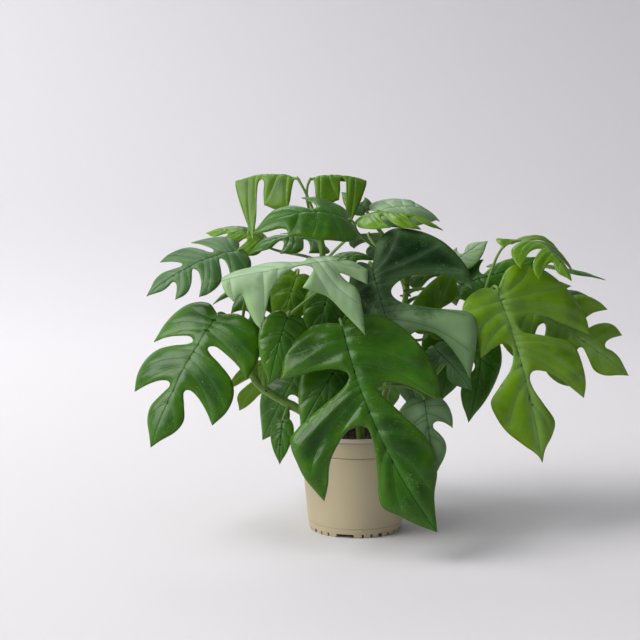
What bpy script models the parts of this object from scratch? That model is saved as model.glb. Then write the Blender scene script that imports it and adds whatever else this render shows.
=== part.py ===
"""A potted mini monstera: nursery pot, soil, leafy stems and cut leaves, in metres with +Z up.

The origin is the middle of the pot's foot. The plant's best side looks along -Y.
"""

import math

import bmesh
import bpy
from mathutils import Vector
from mathutils.geometry import delaunay_2d_cdt

CM = 0.01
GAP = 0.0003

# Pot: a 12 cm nursery pot
POT_HEIGHT = 10.4 * CM
FOOT_RADIUS = 4.78 * CM
RIM_RADIUS = 6.0 * CM
LIP_HEIGHT = 0.45 * CM
LIP_OVERHANG = 0.10 * CM
BAND_BOTTOM = 8.35 * CM
BAND_STEP = 0.05 * CM
FOOT_TAPER_HEIGHT = 1.3 * CM
FOOT_TAPER = 0.13 * CM
WALL = 0.13 * CM
FLOOR_RAISE = 0.40 * CM
CENTRE_PAD_RADIUS = 1.2 * CM
FOOT_RING_WIDTH = 0.30 * CM
POT_SIDES = 48

# Notches round the foot: a wide drain in each quarter, with narrow ones between
NOTCH_HEIGHT = 0.33 * CM
FIRST_DRAIN_TURN = math.radians(-104.5)
NOTCH_TURNS = {0.0: 2.0 * CM, 22.0: 0.25 * CM, 33.0: 0.25 * CM, 45.0: 0.5 * CM, 57.0: 0.25 * CM,
               68.0: 0.25 * CM}

# Soil
SOIL_TOP = 9.2 * CM

# Blades
BLADE_THICKNESS = 0.8 * 0.001
PETIOLE_RADIUS = 0.17 * CM
PETIOLE_TIP_RADIUS = 0.13 * CM
PETIOLE_CLEARANCE = 0.18 * CM
STEEP_CLEARANCE = 0.24 * CM
CREST_CLEARANCE = 0.13 * CM

# A leaf outline is drawn in leaf lengths: along the midrib from the base (0) to the tip (1), and
# out from the midrib. SHARP marks a pointed lobe; all other points are rounded through.
SHARP = True

FRONT_RIGHT = [(-0.01, 0.06), (0.02, 0.15), (0.09, 0.22), (0.20, 0.27), (0.32, 0.29), (0.41, 0.28),
               (0.48, 0.24, SHARP), (0.42, 0.19), (0.37, 0.145), (0.33, 0.09), (0.315, 0.04),
               (0.34, 0.02), (0.42, 0.05), (0.52, 0.09), (0.61, 0.125), (0.69, 0.13), (0.77, 0.105),
               (0.86, 0.05)]
FRONT_LEFT = [(-0.03, 0.06), (-0.045, 0.13), (-0.02, 0.22), (0.02, 0.29), (0.08, 0.325),
              (0.115, 0.35, SHARP), (0.13, 0.28), (0.145, 0.19), (0.175, 0.11), (0.215, 0.07),
              (0.25, 0.085), (0.28, 0.15), (0.31, 0.26), (0.355, 0.39), (0.40, 0.425), (0.48, 0.43),
              (0.56, 0.425), (0.68, 0.39, SHARP), (0.62, 0.345), (0.54, 0.30), (0.485, 0.24),
              (0.45, 0.18), (0.445, 0.13), (0.47, 0.09), (0.56, 0.10), (0.66, 0.13), (0.75, 0.165),
              (0.81, 0.17), (0.87, 0.12), (0.93, 0.07)]
TORN_RIGHT = [(-0.05, 0.04), (-0.10, 0.09), (-0.12, 0.16), (-0.10, 0.25), (-0.04, 0.34), (0.06, 0.42),
              (0.16, 0.47), (0.27, 0.495), (0.37, 0.49, SHARP), (0.31, 0.40), (0.25, 0.31),
              (0.20, 0.23), (0.175, 0.15), (0.185, 0.08), (0.225, 0.06), (0.27, 0.09), (0.30, 0.17),
              (0.34, 0.27), (0.38, 0.355), (0.44, 0.385), (0.54, 0.395), (0.63, 0.385),
              (0.71, 0.35, SHARP), (0.63, 0.28), (0.56, 0.22), (0.51, 0.15), (0.49, 0.08),
              (0.52, 0.045), (0.59, 0.05), (0.69, 0.09), (0.79, 0.13), (0.86, 0.10), (0.93, 0.035)]
TORN_LEFT = [(-0.03, 0.06), (-0.02, 0.13), (0.02, 0.20), (0.08, 0.23), (0.15, 0.22), (0.21, 0.19),
             (0.27, 0.19), (0.35, 0.20, SHARP), (0.315, 0.12), (0.30, 0.06), (0.33, 0.015),
             (0.39, 0.02), (0.46, 0.06), (0.53, 0.14), (0.60, 0.21), (0.69, 0.20), (0.78, 0.16),
             (0.87, 0.09), (0.95, 0.02)]
BROAD = [(-0.06, 0.04), (-0.13, 0.08), (-0.17, 0.15), (-0.17, 0.23), (-0.10, 0.36), (0.0, 0.46),
         (0.12, 0.52), (0.22, 0.545), (0.33, 0.53, SHARP), (0.25, 0.47), (0.19, 0.39), (0.15, 0.28),
         (0.135, 0.17), (0.165, 0.08), (0.21, 0.06), (0.27, 0.10), (0.33, 0.20), (0.39, 0.33),
         (0.44, 0.44), (0.49, 0.485), (0.58, 0.475), (0.70, 0.42), (0.84, 0.34, SHARP),
         (0.74, 0.325), (0.62, 0.29), (0.52, 0.235), (0.47, 0.15), (0.48, 0.08), (0.54, 0.06),
         (0.63, 0.09), (0.73, 0.13), (0.82, 0.11), (0.91, 0.05)]
STAR_NEAR = [(-0.03, 0.01), (-0.13, 0.02), (-0.24, 0.10, SHARP), (-0.20, 0.24, SHARP), (-0.08, 0.16),
             (0.01, 0.12), (-0.02, 0.18), (-0.10, 0.28), (-0.10, 0.45), (-0.07, 0.67, SHARP),
             (0.0, 0.57), (0.08, 0.45), (0.16, 0.33), (0.25, 0.28), (0.36, 0.23, SHARP),
             (0.28, 0.14), (0.23, 0.07), (0.27, 0.03), (0.35, 0.02), (0.43, 0.05), (0.54, 0.12),
             (0.63, 0.22), (0.70, 0.36), (0.77, 0.50, SHARP), (0.81, 0.42), (0.84, 0.29),
             (0.86, 0.17), (0.94, 0.21, SHARP), (0.99, 0.11)]
STAR_FAR = [(-0.03, 0.03), (-0.04, 0.10), (0.02, 0.17), (0.12, 0.20), (0.22, 0.19, SHARP), (0.25, 0.11),
            (0.30, 0.08), (0.37, 0.12), (0.50, 0.21), (0.62, 0.24), (0.75, 0.23), (0.87, 0.19),
            (0.96, 0.11)]
SPLIT = [(-0.03, 0.05), (-0.06, 0.12), (-0.05, 0.22), (0.0, 0.31), (0.09, 0.37), (0.20, 0.40),
         (0.33, 0.40, SHARP), (0.27, 0.31), (0.23, 0.20), (0.21, 0.11), (0.235, 0.065),
         (0.27, 0.10), (0.31, 0.20), (0.37, 0.31), (0.46, 0.37), (0.58, 0.375), (0.70, 0.33, SHARP),
         (0.63, 0.25), (0.57, 0.16), (0.55, 0.09), (0.58, 0.06), (0.66, 0.10), (0.75, 0.14),
         (0.84, 0.12), (0.93, 0.05)]
FINGERS = [(-0.03, 0.05), (-0.05, 0.12), (-0.02, 0.21), (0.06, 0.29), (0.16, 0.34),
           (0.27, 0.36, SHARP), (0.225, 0.27), (0.195, 0.17), (0.19, 0.09), (0.215, 0.055),
           (0.24, 0.09), (0.275, 0.19), (0.33, 0.30), (0.42, 0.36), (0.52, 0.375),
           (0.60, 0.36, SHARP), (0.52, 0.26), (0.48, 0.16), (0.475, 0.09), (0.50, 0.05),
           (0.53, 0.09), (0.58, 0.18), (0.65, 0.25), (0.72, 0.27), (0.80, 0.25, SHARP),
           (0.74, 0.17), (0.71, 0.10), (0.73, 0.06), (0.79, 0.075), (0.86, 0.07), (0.94, 0.03)]
WHOLE = [(-0.03, 0.05), (-0.05, 0.13), (-0.01, 0.22), (0.10, 0.30), (0.26, 0.34), (0.44, 0.31),
         (0.62, 0.24), (0.78, 0.15), (0.90, 0.06)]
ONE_CUT = [(-0.03, 0.05), (-0.05, 0.13), (0.0, 0.23), (0.12, 0.31), (0.27, 0.34),
           (0.42, 0.32, SHARP), (0.34, 0.22), (0.31, 0.12), (0.34, 0.06), (0.40, 0.06),
           (0.47, 0.12), (0.57, 0.18), (0.68, 0.19), (0.80, 0.14), (0.91, 0.06)]

CURTAIN = [(0.03, 0.04), (0.05, 0.20), (0.06, 0.42), (0.11, 0.51), (0.28, 0.54), (0.46, 0.50, SHARP),
           (0.49, 0.32), (0.50, 0.16), (0.55, 0.09), (0.60, 0.16), (0.59, 0.42), (0.57, 0.64),
           (0.59, 0.92, SHARP), (0.74, 0.66), (0.87, 0.40), (0.97, 0.14)]
RIDGE = [(0.03, 0.08), (0.18, 0.19), (0.40, 0.18), (0.60, 0.20), (0.80, 0.16), (0.94, 0.06)]
LAZY = [(-0.04, 0.05), (-0.06, 0.15), (0.0, 0.26), (0.13, 0.33), (0.30, 0.35), (0.46, 0.32), (0.58, 0.27),
        (0.69, 0.24, SHARP), (0.68, 0.17), (0.75, 0.12), (0.86, 0.09), (0.94, 0.05)]

# Colours of the plain materials
POT_COLOUR = (0.47, 0.41, 0.30)
SOIL_COLOUR = (0.035, 0.022, 0.015)
STEM_COLOUR = (0.16, 0.30, 0.045)
LEAF_COLOURS = {
    "deep": (0.035, 0.13, 0.02),
    "bright": (0.17, 0.36, 0.015),
    "glaucous": (0.12, 0.24, 0.13),
}

# Stems, in centimetres: radius, and the points that each follows from inside the soil
STEMS = {
    "stem_front": (0.42, [(0.6, -2.4, 7.2), (0.4, -2.8, 10.5), (-0.2, -3.8, 14.5), (0.3, -3.2, 19.0),
                          (1.0, -2.0, 23.0)]),
    "stem_right": (0.40, [(3.0, -0.2, 7.2), (4.2, -0.4, 11.0), (7.2, -0.2, 15.0), (10.2, 0.4, 18.6),
                          (12.6, 0.8, 21.4)]),
    "stem_left": (0.48, [(-1.5, -2.7, 7.2), (-2.8, -3.3, 11.0), (-6.0, -3.6, 13.1),
                         (-10.0, -3.0, 15.6), (-11.6, -1.8, 19.6)]),
    "stem_back": (0.40, [(-1.6, 2.2, 7.2), (-2.2, 3.4, 12.0), (-3.4, 4.4, 18.0), (-3.6, 4.2, 24.0),
                         (-3.4, 3.4, 28.5)]),
    "stem_back_right": (0.38, [(2.2, 2.6, 7.2), (3.0, 3.8, 12.0), (4.2, 4.6, 17.5),
                               (5.2, 4.8, 22.5), (5.6, 4.4, 26.0)]),
}


def blade(stem, node, base, tip, face, near, far, tint, **form):
    """One leaf: base and tip in centimetres, face the way its upper side looks. near is the outline
    on the side of face x (tip - base), far the other. form bends it, in leaf lengths."""
    shape = dict(bow=0.05, fold=0.12, droop=0.25, twist=0.0, ripple=0.012, arrive=(0.75, 0.66, 0.0),
                 clearance=PETIOLE_CLEARANCE, width=1.0, detail=1.0)
    shape.update(form)
    shape.setdefault("fold_far", shape["fold"])
    shape.setdefault("width_far", shape["width"])
    return dict(stem=stem, node=node, base=Vector(base) * CM, tip=Vector(tip) * CM, face=Vector(face),
                near=near, far=far, tint=tint, **shape)


LEAVES = {
    "leaf_front": blade("stem_front", 0.62, (-1.6, -9.0, 22.4), (7.3, -14.5, 3.3), (0, -1, 0.25),
                        FRONT_RIGHT, FRONT_LEFT, "deep", bow=0.04, fold=0.10, droop=0.15, ripple=0.016,
                        detail=0.72),
    "leaf_right": blade("stem_right", 0.95, (14.1, -3.6, 25.1), (18.4, -6.6, 8.2), (0.2, -1, 0.3),
                        TORN_RIGHT, TORN_LEFT, "bright", bow=0.03, fold=0.10, droop=0.10, detail=0.75),
    "leaf_broad": blade("stem_front", 0.98, (1.4, -4.5, 27.6), (6.6, -7.4, 12.4), (-0.13, -1, 0.3),
                        BROAD, ONE_CUT, "deep", bow=0.05, fold=0.10, fold_far=0.4, droop=0.12,
                        width_far=0.6, clearance=STEEP_CLEARANCE, detail=0.8),
    "leaf_pale_star": blade("stem_left", 0.80, (-2.0, -8.0, 28.5), (-13.1, -10.0, 26.6),
                            (0, -0.75, 0.65), STAR_NEAR, STAR_FAR, "glaucous", bow=0.05, fold=0.15,
                            fold_far=0.9, droop=0.15, arrive=(0.2, 0.98, 0.0)),
    "leaf_top_right": blade("stem_right", 0.84, (15.8, 0.0, 29.8), (20.8, -7.0, 26.4), (0.2, -0.3, 1),
                            SPLIT, FINGERS, "bright", bow=0.16, fold=0.1, twist=1.1, droop=0.4),
    "leaf_right_behind": blade("stem_right", 0.72, (17.0, 0.6, 23.6), (28.1, -0.4, 16.0),
                               (0.25, -1, 0.4), FINGERS, SPLIT, "bright", bow=0.08),
    "leaf_far_right": blade("stem_right", 0.60, (15.3, 8.0, 26.7), (27.4, 9.0, 25.2), (0, -0.12, 1),
                            SPLIT, ONE_CUT, "glaucous", bow=0.06, width=0.6),
    "leaf_right_dark": blade("stem_back_right", 0.80, (11.0, 3.2, 25.0), (18.2, 3.2, 26.8),
                             (0.1, -0.8, 0.6), ONE_CUT, WHOLE, "deep", bow=0.08),
    "leaf_back_low": blade("stem_back_right", 0.70, (18.6, 10.0, 23.2), (27.9, 12.0, 22.0),
                           (0.1, -0.5, 1), ONE_CUT, WHOLE, "glaucous", bow=0.08),
    "leaf_hanging": blade("stem_right", 0.45, (12.8, -1.8, 20.4), (11.4, -2.8, 11.5), (0.2, -1, 0.1),
                          WHOLE, ONE_CUT, "deep", width=0.8),
    "leaf_low_front": blade("stem_front", 0.30, (6.4, -9.2, 15.0), (7.4, -11.0, 8.0), (0.1, -1, 0.3),
                            ONE_CUT, WHOLE, "glaucous", arrive=(0.9, 0.3, 0.3),
                            clearance=STEEP_CLEARANCE),
    "leaf_low_left": blade("stem_front", 0.50, (-1.2, -7.0, 19.2), (-5.6, -9.4, 12.0), (0, -1, 0.35),
                           WHOLE, WHOLE, "deep"),
    "leaf_inner_bright": blade("stem_front", 0.82, (7.3, -0.8, 20.4), (9.8, -0.2, 27.2), (0.1, -1, 0.2),
                               WHOLE, ONE_CUT, "bright", arrive=(0.9, 0.3, 0.0)),
    "leaf_inner_dark": blade("stem_front", 0.72, (-2.6, -2.8, 25.4), (-4.6, -3.4, 18.6), (0, -1, 0.2),
                             WHOLE, WHOLE, "deep", width=0.9),
    "leaf_left_small": blade("stem_left", 0.62, (-6.8, -7.5, 22.9), (-8.6, -9.0, 16.4), (0, -1, 0.3),
                             WHOLE, WHOLE, "deep"),
    "leaf_left_young": blade("stem_left", 0.72, (-6.0, -1.2, 26.4), (-7.8, -1.6, 20.2), (0.1, -1, 0.3),
                             WHOLE, WHOLE, "bright"),
    "leaf_left_low": blade("stem_left", 0.42, (-7.4, -5.2, 12.2), (-7.7, -6.5, 8.0), (-0.3, -1, 0.2),
                           WHOLE, WHOLE, "deep", width=0.8),
    "leaf_left_outer": blade("stem_left", 0.90, (-14.0, -3.4, 22.6), (-20.4, -7.6, 10.0),
                             (-0.5, -1, 0.4), SPLIT, SPLIT, "deep", bow=0.05, detail=0.9),
    "leaf_left_upper": blade("stem_left", 0.98, (-12.0, -1.0, 29.0), (-21.0, -4.0, 24.6),
                             (-0.2, -0.7, 0.8), FINGERS, SPLIT, "glaucous", bow=0.10),
    "leaf_top_pale": blade("stem_back_right", 0.98, (2.5, 3.4, 32.8), (9.1, 6.4, 31.6), (0, -0.6, 1),
                           LAZY, WHOLE, "glaucous", bow=0.16, fold=0.2, width=1.15),
    "leaf_top_edge": blade("stem_back_right", 0.90, (0.6, -0.8, 32.3), (8.8, -0.6, 31.0), (0, -0.2, 1),
                           ONE_CUT, SPLIT, "bright", bow=0.12),
    "leaf_top_left": blade("stem_back", 0.84, (-0.9, -3.4, 32.2), (-10.3, -5.0, 30.9),
                           (0, -0.7, 1), LAZY, ONE_CUT, "deep", bow=0.18, width=1.1),
    "leaf_arch_left": blade("stem_back", 0.99, (-6.1, 1.5, 36.3), (-12.5, 3.5, 35.9), (0.0, 0.0, 1),
                            CURTAIN, RIDGE, "bright", bow=0.08, fold=1.6, fold_far=0.3, width=0.53,
                            droop=0.9, arrive=(0.5, 0.85, 0.0), clearance=CREST_CLEARANCE),
    "leaf_arch_right": blade("stem_back", 0.93, (-4.6, 3.8, 36.2), (1.2, 5.0, 35.9), (0.0, 0.0, 1),
                             RIDGE, CURTAIN, "bright", bow=0.08, fold=0.3, fold_far=1.6, width_far=0.53,
                             droop=0.9, arrive=(0.5, 0.85, 0.0), clearance=CREST_CLEARANCE),
    "leaf_centre_back": blade("stem_back", 0.90, (-3.8, 7.6, 29.4), (-11.2, 4.4, 28.2), (0, -0.3, 1),
                              SPLIT, ONE_CUT, "deep", bow=0.15),
    "leaf_back_left": blade("stem_back", 0.74, (-6.4, 8.0, 25.6), (-15.5, 9.5, 22.4), (-0.3, 0.2, 1),
                            SPLIT, SPLIT, "deep", bow=0.12),
    "leaf_back": blade("stem_back", 0.60, (-1.2, 9.4, 24.0), (-2.6, 17.5, 13.0), (0, 1, 0.5),
                       SPLIT, FINGERS, "deep", bow=0.10),
    "leaf_back_right": blade("stem_back_right", 0.86, (7.6, 9.6, 28.0), (12.0, 17.0, 21.5),
                             (0.3, 0.8, 0.9), SPLIT, SPLIT, "deep", bow=0.10),
    "leaf_top_small": blade("stem_back_right", 0.94, (1.2, 6.0, 32.7), (-1.4, 8.4, 34.6), (-0.2, -0.7, 1),
                            WHOLE, ONE_CUT, "glaucous", detail=1.3),
    "leaf_centre_dark": blade("stem_back", 0.80, (-3.5, -0.2, 27.0), (2.0, -1.8, 28.0), (0, -0.6, 1),
                              WHOLE, LAZY, "deep", bow=0.14, width_far=0.5, detail=1.25,
                              arrive=(0.6, 0.8, 0.0), clearance=STEEP_CLEARANCE),
    "leaf_right_pale": blade("stem_back_right", 0.92, (10.1, 3.5, 27.2), (14.1, 5.5, 29.5),
                             (0, -0.7, 1), ONE_CUT, WHOLE, "glaucous", detail=1.3),
    "leaf_right_high": blade("stem_right", 0.90, (15.1, 4.5, 25.6), (19.2, 5.5, 27.8), (0, -0.8, 0.7),
                             WHOLE, WHOLE, "deep", detail=1.3),
    "leaf_mid_left": blade("stem_back", 0.55, (-9.4, 1.6, 24.4), (-12.4, 1.2, 16.8),
                           (-0.2, -1, 0.3), SPLIT, ONE_CUT, "deep", bow=0.08, detail=1.2),
    "leaf_upper_left": blade("stem_back", 0.88, (-9.9, 6.5, 29.3), (-16.1, 9.0, 30.2), (0, -0.5, 1),
                             SPLIT, WHOLE, "bright", bow=0.12, detail=1.2),
    "leaf_mid_back": blade("stem_back", 0.40, (2.0, 1.6, 24.0), (-1.6, 1.2, 16.2), (0, -1, 0.4),
                           ONE_CUT, WHOLE, "deep", detail=1.25),
    "leaf_low_back_right": blade("stem_back_right", 0.45, (10.7, 4.0, 21.0), (8.8, 3.0, 12.4),
                                 (0.2, -1, 0.2), WHOLE, LAZY, "deep", detail=1.25),
    "leaf_low_right": blade("stem_right", 0.35, (7.8, -3.0, 19.2), (11.4, -5.5, 15.3), (0.2, -1, 0.3),
                            WHOLE, ONE_CUT, "glaucous", detail=1.3),
    "leaf_low_back_left": blade("stem_back", 0.30, (-5.8, 4.5, 16.2), (-10.0, 6.5, 7.8),
                                (-0.4, -1, 0.3), ONE_CUT, WHOLE, "deep", detail=1.25),
    "leaf_back_middle": blade("stem_back_right", 0.50, (1.6, 9.5, 19.0), (4.4, 15.5, 9.5),
                              (0.2, 1, 0.4), LAZY, SPLIT, "deep", detail=1.25),
    "leaf_back_low_left": blade("stem_back", 0.48, (-6.8, 7.0, 18.5), (-12.8, 12.0, 10.2),
                                (-0.5, 0.8, 0.4), SPLIT, LAZY, "bright", detail=1.25),
    "leaf_back_high": blade("stem_back_right", 0.82, (1.6, 8.4, 30.2), (3.6, 14.8, 26.4),
                            (0.1, 0.6, 1), ONE_CUT, LAZY, "glaucous", detail=1.25),
}

STEM_PIECES = 4
PETIOLE_PIECES = 6
OUTLINE_STEP = 0.095
GRID_STEP = 0.115
VEIN_PAIRS = 6


def clear_scene():
    for item in list(bpy.data.objects):
        bpy.data.objects.remove(item, do_unlink=True)


def new_collection(name):
    group = bpy.data.collections.new(name)
    bpy.context.scene.collection.children.link(group)
    return group


def plain_material(name, colour, roughness):
    finish = bpy.data.materials.new(name)
    finish.use_nodes = True
    shader = finish.node_tree.nodes["Principled BSDF"]
    shader.inputs["Base Color"].default_value = (*colour, 1.0)
    shader.inputs["Roughness"].default_value = roughness
    shader.inputs["Metallic"].default_value = 0.0
    return finish


def mesh_object(name, verts, edges, faces, group, finish=None):
    mesh = bpy.data.meshes.new(name)
    mesh.from_pydata(verts, edges, faces)
    item = bpy.data.objects.new(name, mesh)
    group.objects.link(item)
    if finish:
        mesh.materials.append(finish)
    return item


def turned(name, profile, group, finish):
    """A profile of (radius, height) turned round Z, running down its outer side."""
    verts = [(radius, 0.0, height) for radius, height in profile]
    edges = [(i, i + 1) for i in range(len(profile) - 1)]
    item = mesh_object(name, verts, edges, [], group, finish)
    screw = item.modifiers.new("turn", "SCREW")
    screw.steps = POT_SIDES
    screw.render_steps = POT_SIDES
    screw.use_merge_vertices = True
    screw.merge_threshold = 0.00001
    screw.use_smooth_shade = True
    return item


def wall_radius(height):
    """Outer radius of the pot's wall below the lip."""
    top = RIM_RADIUS - LIP_OVERHANG
    straight = FOOT_RADIUS + FOOT_TAPER
    radius = straight + (top - straight) * height / POT_HEIGHT
    if height < FOOT_TAPER_HEIGHT:
        radius -= FOOT_TAPER * (1 - height / FOOT_TAPER_HEIGHT) ** 1.5
    if height < BAND_BOTTOM:
        radius -= BAND_STEP
    return radius


def inner_radius(height):
    return wall_radius(height) - WALL


def pot_profile():
    lip_bottom = POT_HEIGHT - LIP_HEIGHT
    floor = FLOOR_RAISE + WALL
    ring_inside = FOOT_RADIUS - FOOT_RING_WIDTH
    soft = 0.05 * CM
    below_band = BAND_BOTTOM - soft
    inside = [(0.0, floor), (inner_radius(floor), floor), (inner_radius(below_band), below_band),
              (inner_radius(POT_HEIGHT), POT_HEIGHT - soft)]
    lip = [(inner_radius(POT_HEIGHT) + soft, POT_HEIGHT), (RIM_RADIUS - soft, POT_HEIGHT),
           (RIM_RADIUS, POT_HEIGHT - soft), (RIM_RADIUS, lip_bottom + soft), (RIM_RADIUS - soft, lip_bottom)]
    wall = [(wall_radius(z), z) for z in (lip_bottom, BAND_BOTTOM, BAND_BOTTOM - soft)]
    wall += [(wall_radius(z), z) for z in (5.0 * CM, FOOT_TAPER_HEIGHT, FOOT_TAPER_HEIGHT / 2, 0.0)]
    under = [(ring_inside, 0.0), (ring_inside - soft, FLOOR_RAISE)]
    under += [(CENTRE_PAD_RADIUS + FLOOR_RAISE, FLOOR_RAISE), (CENTRE_PAD_RADIUS, 0.0), (0.0, 0.0)]
    return inside + lip + wall + under


def notch_cutters(group):
    """Radial blocks through the foot ring, in one mesh."""
    shape = bmesh.new()
    depth = FOOT_RING_WIDTH + 0.5 * CM
    for quarter in range(4):
        for turn, width in NOTCH_TURNS.items():
            angle = FIRST_DRAIN_TURN + math.radians(turn) + quarter * math.pi / 2
            made = bmesh.ops.create_cube(shape, size=1.0)["verts"]
            for vert in made:
                narrowing = 1 - 0.12 * (vert.co.z + 0.5)
                out = FOOT_RADIUS + 0.05 * CM + vert.co.x * depth
                side = vert.co.y * width * narrowing
                height = vert.co.z * NOTCH_HEIGHT * 2
                vert.co = Vector((out * math.cos(angle) - side * math.sin(angle),
                                  out * math.sin(angle) + side * math.cos(angle), height))
    mesh = bpy.data.meshes.new("foot_notches")
    shape.to_mesh(mesh)
    shape.free()
    cutter = bpy.data.objects.new("foot_notches", mesh)
    group.objects.link(cutter)
    cutter.hide_render = True
    cutter.display_type = "WIRE"
    return cutter


def cut(item, cutter):
    boolean = item.modifiers.new("cut", "BOOLEAN")
    boolean.operation = "DIFFERENCE"
    boolean.solver = "EXACT"
    boolean.object = cutter


def make_pot(group, cutters):
    pot = turned("pot", pot_profile(), group, plain_material("pot_plastic", POT_COLOUR, 0.5))
    cut(pot, notch_cutters(cutters))


def make_soil(group, cutters):
    """Fills the pot to just under its rim, with plain holes where the stems stand."""
    floor = FLOOR_RAISE + WALL + GAP
    below_band = BAND_BOTTOM - 0.1 * CM
    reach = inner_radius(SOIL_TOP) - 0.1 * CM
    profile = [(0.0, SOIL_TOP)]
    profile += [(reach * k / 4, SOIL_TOP) for k in range(1, 5)]
    profile += [(inner_radius(height) - GAP, height) for height in (below_band, floor)]
    profile.append((0.0, floor))
    soil = turned("soil", profile, group, plain_material("potting_soil", SOIL_COLOUR, 0.95))
    for name, (radius, points) in STEMS.items():
        start, end = (Vector(point) * CM for point in points[:2])
        lean = end - start
        bpy.ops.mesh.primitive_cylinder_add(vertices=12, radius=radius * CM + 2.5 * GAP, depth=0.12)
        hole = bpy.context.object
        hole.name = f"hole_{name}"
        hole.rotation_mode = "QUATERNION"
        hole.rotation_quaternion = lean.to_track_quat("Z", "Y")
        hole.location = start + lean.normalized() * (0.06 - GAP * 3)
        hole.hide_render = True
        hole.display_type = "WIRE"
        for owner in list(hole.users_collection):
            owner.objects.unlink(hole)
        cutters.objects.link(hole)
        cut(soil, hole)


def stem_path(points):
    """Straight up through the soil to the second point, then smooth through the others."""
    foot, start = points[:2]
    ends = [points[2] - (start - foot) * 2] + points[1:] + [points[-1] * 2 - points[-2]]
    path = [foot]
    for i in range(len(points) - 2):
        path += [catmull(ends[i:i + 4], k / STEM_PIECES) for k in range(STEM_PIECES)]
    return path + [points[-1]]


def catmull(four, t):
    a, b, c, d = four
    return 0.5 * ((b * 2) + (c - a) * t + (a * 2 - b * 5 + c * 4 - d) * t * t
                  + (b * 3 - a - c * 3 + d) * t ** 3)


def tube(path, radii, sides, group):
    """A capped tube along a path, made with a bevelled curve and returned as a mesh object."""
    curve = bpy.data.curves.new("tube", "CURVE")
    curve.dimensions = "3D"
    curve.bevel_depth = 1.0
    curve.bevel_resolution = (sides - 4) // 2
    curve.use_fill_caps = True
    spline = curve.splines.new("POLY")
    spline.points.add(len(path) - 1)
    for point, place, radius in zip(spline.points, path, radii):
        point.co = (*place, 1.0)
        point.radius = radius
    source = bpy.data.objects.new("tube", curve)
    group.objects.link(source)
    bpy.context.view_layer.update()
    mesh = bpy.data.meshes.new_from_object(source.evaluated_get(bpy.context.evaluated_depsgraph_get()))
    bpy.data.objects.remove(source)
    shape = bmesh.new()
    shape.from_mesh(mesh)
    bmesh.ops.remove_doubles(shape, verts=shape.verts, dist=0.00001)
    bmesh.ops.recalc_face_normals(shape, faces=shape.faces)
    shape.to_mesh(mesh)
    shape.free()
    item = bpy.data.objects.new("tube", mesh)
    group.objects.link(item)
    return item


def leaf_axes(leaf):
    along = leaf["tip"] - leaf["base"]
    length = along.length
    along = along / length
    up = (leaf["face"] - along * leaf["face"].dot(along)).normalized()
    return along, up.cross(along), up, length


def petiole_path(leaf, stem):
    """From inside the stem at the leaf's node, out and up, then in to the base from behind."""
    along, across, up, length = leaf_axes(leaf)
    place = leaf["node"] * (len(stem) - 1)
    i = min(int(place), len(stem) - 2)
    start = stem[i].lerp(stem[i + 1], place - i)
    forward, rise, sideways = leaf["arrive"]
    arriving = (along * forward + up * rise + across * sideways).normalized()
    end = leaf["base"] - arriving * leaf["clearance"]
    reach = (end - start).length
    growth = (stem[i + 1] - stem[i]).normalized()
    leave = start + (growth * 0.6 + (end - start).normalized() * 0.4) * reach * 0.35
    enter = end - arriving * reach * 0.3
    count = PETIOLE_PIECES
    path = []
    for k in range(count + 1):
        t = k / count
        path.append(start * (1 - t) ** 3 + leave * 3 * t * (1 - t) ** 2
                    + enter * 3 * t * t * (1 - t) + end * t ** 3)
    return path


def make_stem(name, group, cutters, finish):
    """A stem with its petioles, as one solid."""
    radius, points = STEMS[name]
    path = stem_path([Vector(point) * CM for point in points])
    radii = [radius * CM * (1 - 0.3 * k / (len(path) - 1)) for k in range(len(path))]
    stem = tube(path, radii, 8, group)
    stem.name = name
    stem.data.materials.append(finish)
    twigs = bpy.data.collections.new(f"petioles_of_{name}")
    bpy.context.scene.collection.children.link(twigs)
    for leaf in LEAVES.values():
        if leaf["stem"] != name:
            continue
        way = petiole_path(leaf, path)
        taper = [PETIOLE_RADIUS + (PETIOLE_TIP_RADIUS - PETIOLE_RADIUS) * k / (len(way) - 1)
                 for k in range(len(way))]
        tube(way, taper, 6, twigs)
    union = stem.modifiers.new("petioles", "BOOLEAN")
    union.operation = "UNION"
    union.solver = "EXACT"
    union.operand_type = "COLLECTION"
    union.collection = twigs
    bpy.context.view_layer.update()
    joined = bpy.data.meshes.new_from_object(stem.evaluated_get(bpy.context.evaluated_depsgraph_get()))
    stem.modifiers.clear()
    stem.data = joined
    for twig in list(twigs.objects):
        bpy.data.objects.remove(twig)
    bpy.data.collections.remove(twigs)


def round_through(points, step):
    """A closed outline through hand-placed points, rounded at plain ones and pointed at sharp ones."""
    places = [Vector(point[:2]) for point in points]
    sharp = [len(point) > 2 for point in points]
    count = len(points)
    outline = []
    for i in range(count):
        a, b, c, d = (places[(i + k) % count] for k in (-1, 0, 1, 2))
        if sharp[i]:
            a = b * 2 - c
        if sharp[(i + 1) % count]:
            d = c * 2 - b
        pieces = max(1, round((c - b).length / step))
        for k in range(pieces):
            outline.append(catmull((a, b, c, d), k / pieces))
    return outline


def leaf_outline(leaf, step):
    near = [(p[0], p[1] * leaf["width"], *p[2:]) for p in leaf["near"]]
    far = [(p[0], -p[1] * leaf["width_far"], *p[2:]) for p in reversed(leaf["far"])]
    return round_through([(0.0, 0.0, SHARP)] + near + [(1.0, 0.0, SHARP)] + far, step)


def inside(outline, place):
    """True where a place lies inside a closed outline."""
    hit = False
    for a, b in zip(outline, outline[1:] + outline[:1]):
        if (a.y > place.y) != (b.y > place.y):
            if place.x < a.x + (place.y - a.y) / (b.y - a.y) * (b.x - a.x):
                hit = not hit
    return hit


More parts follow.
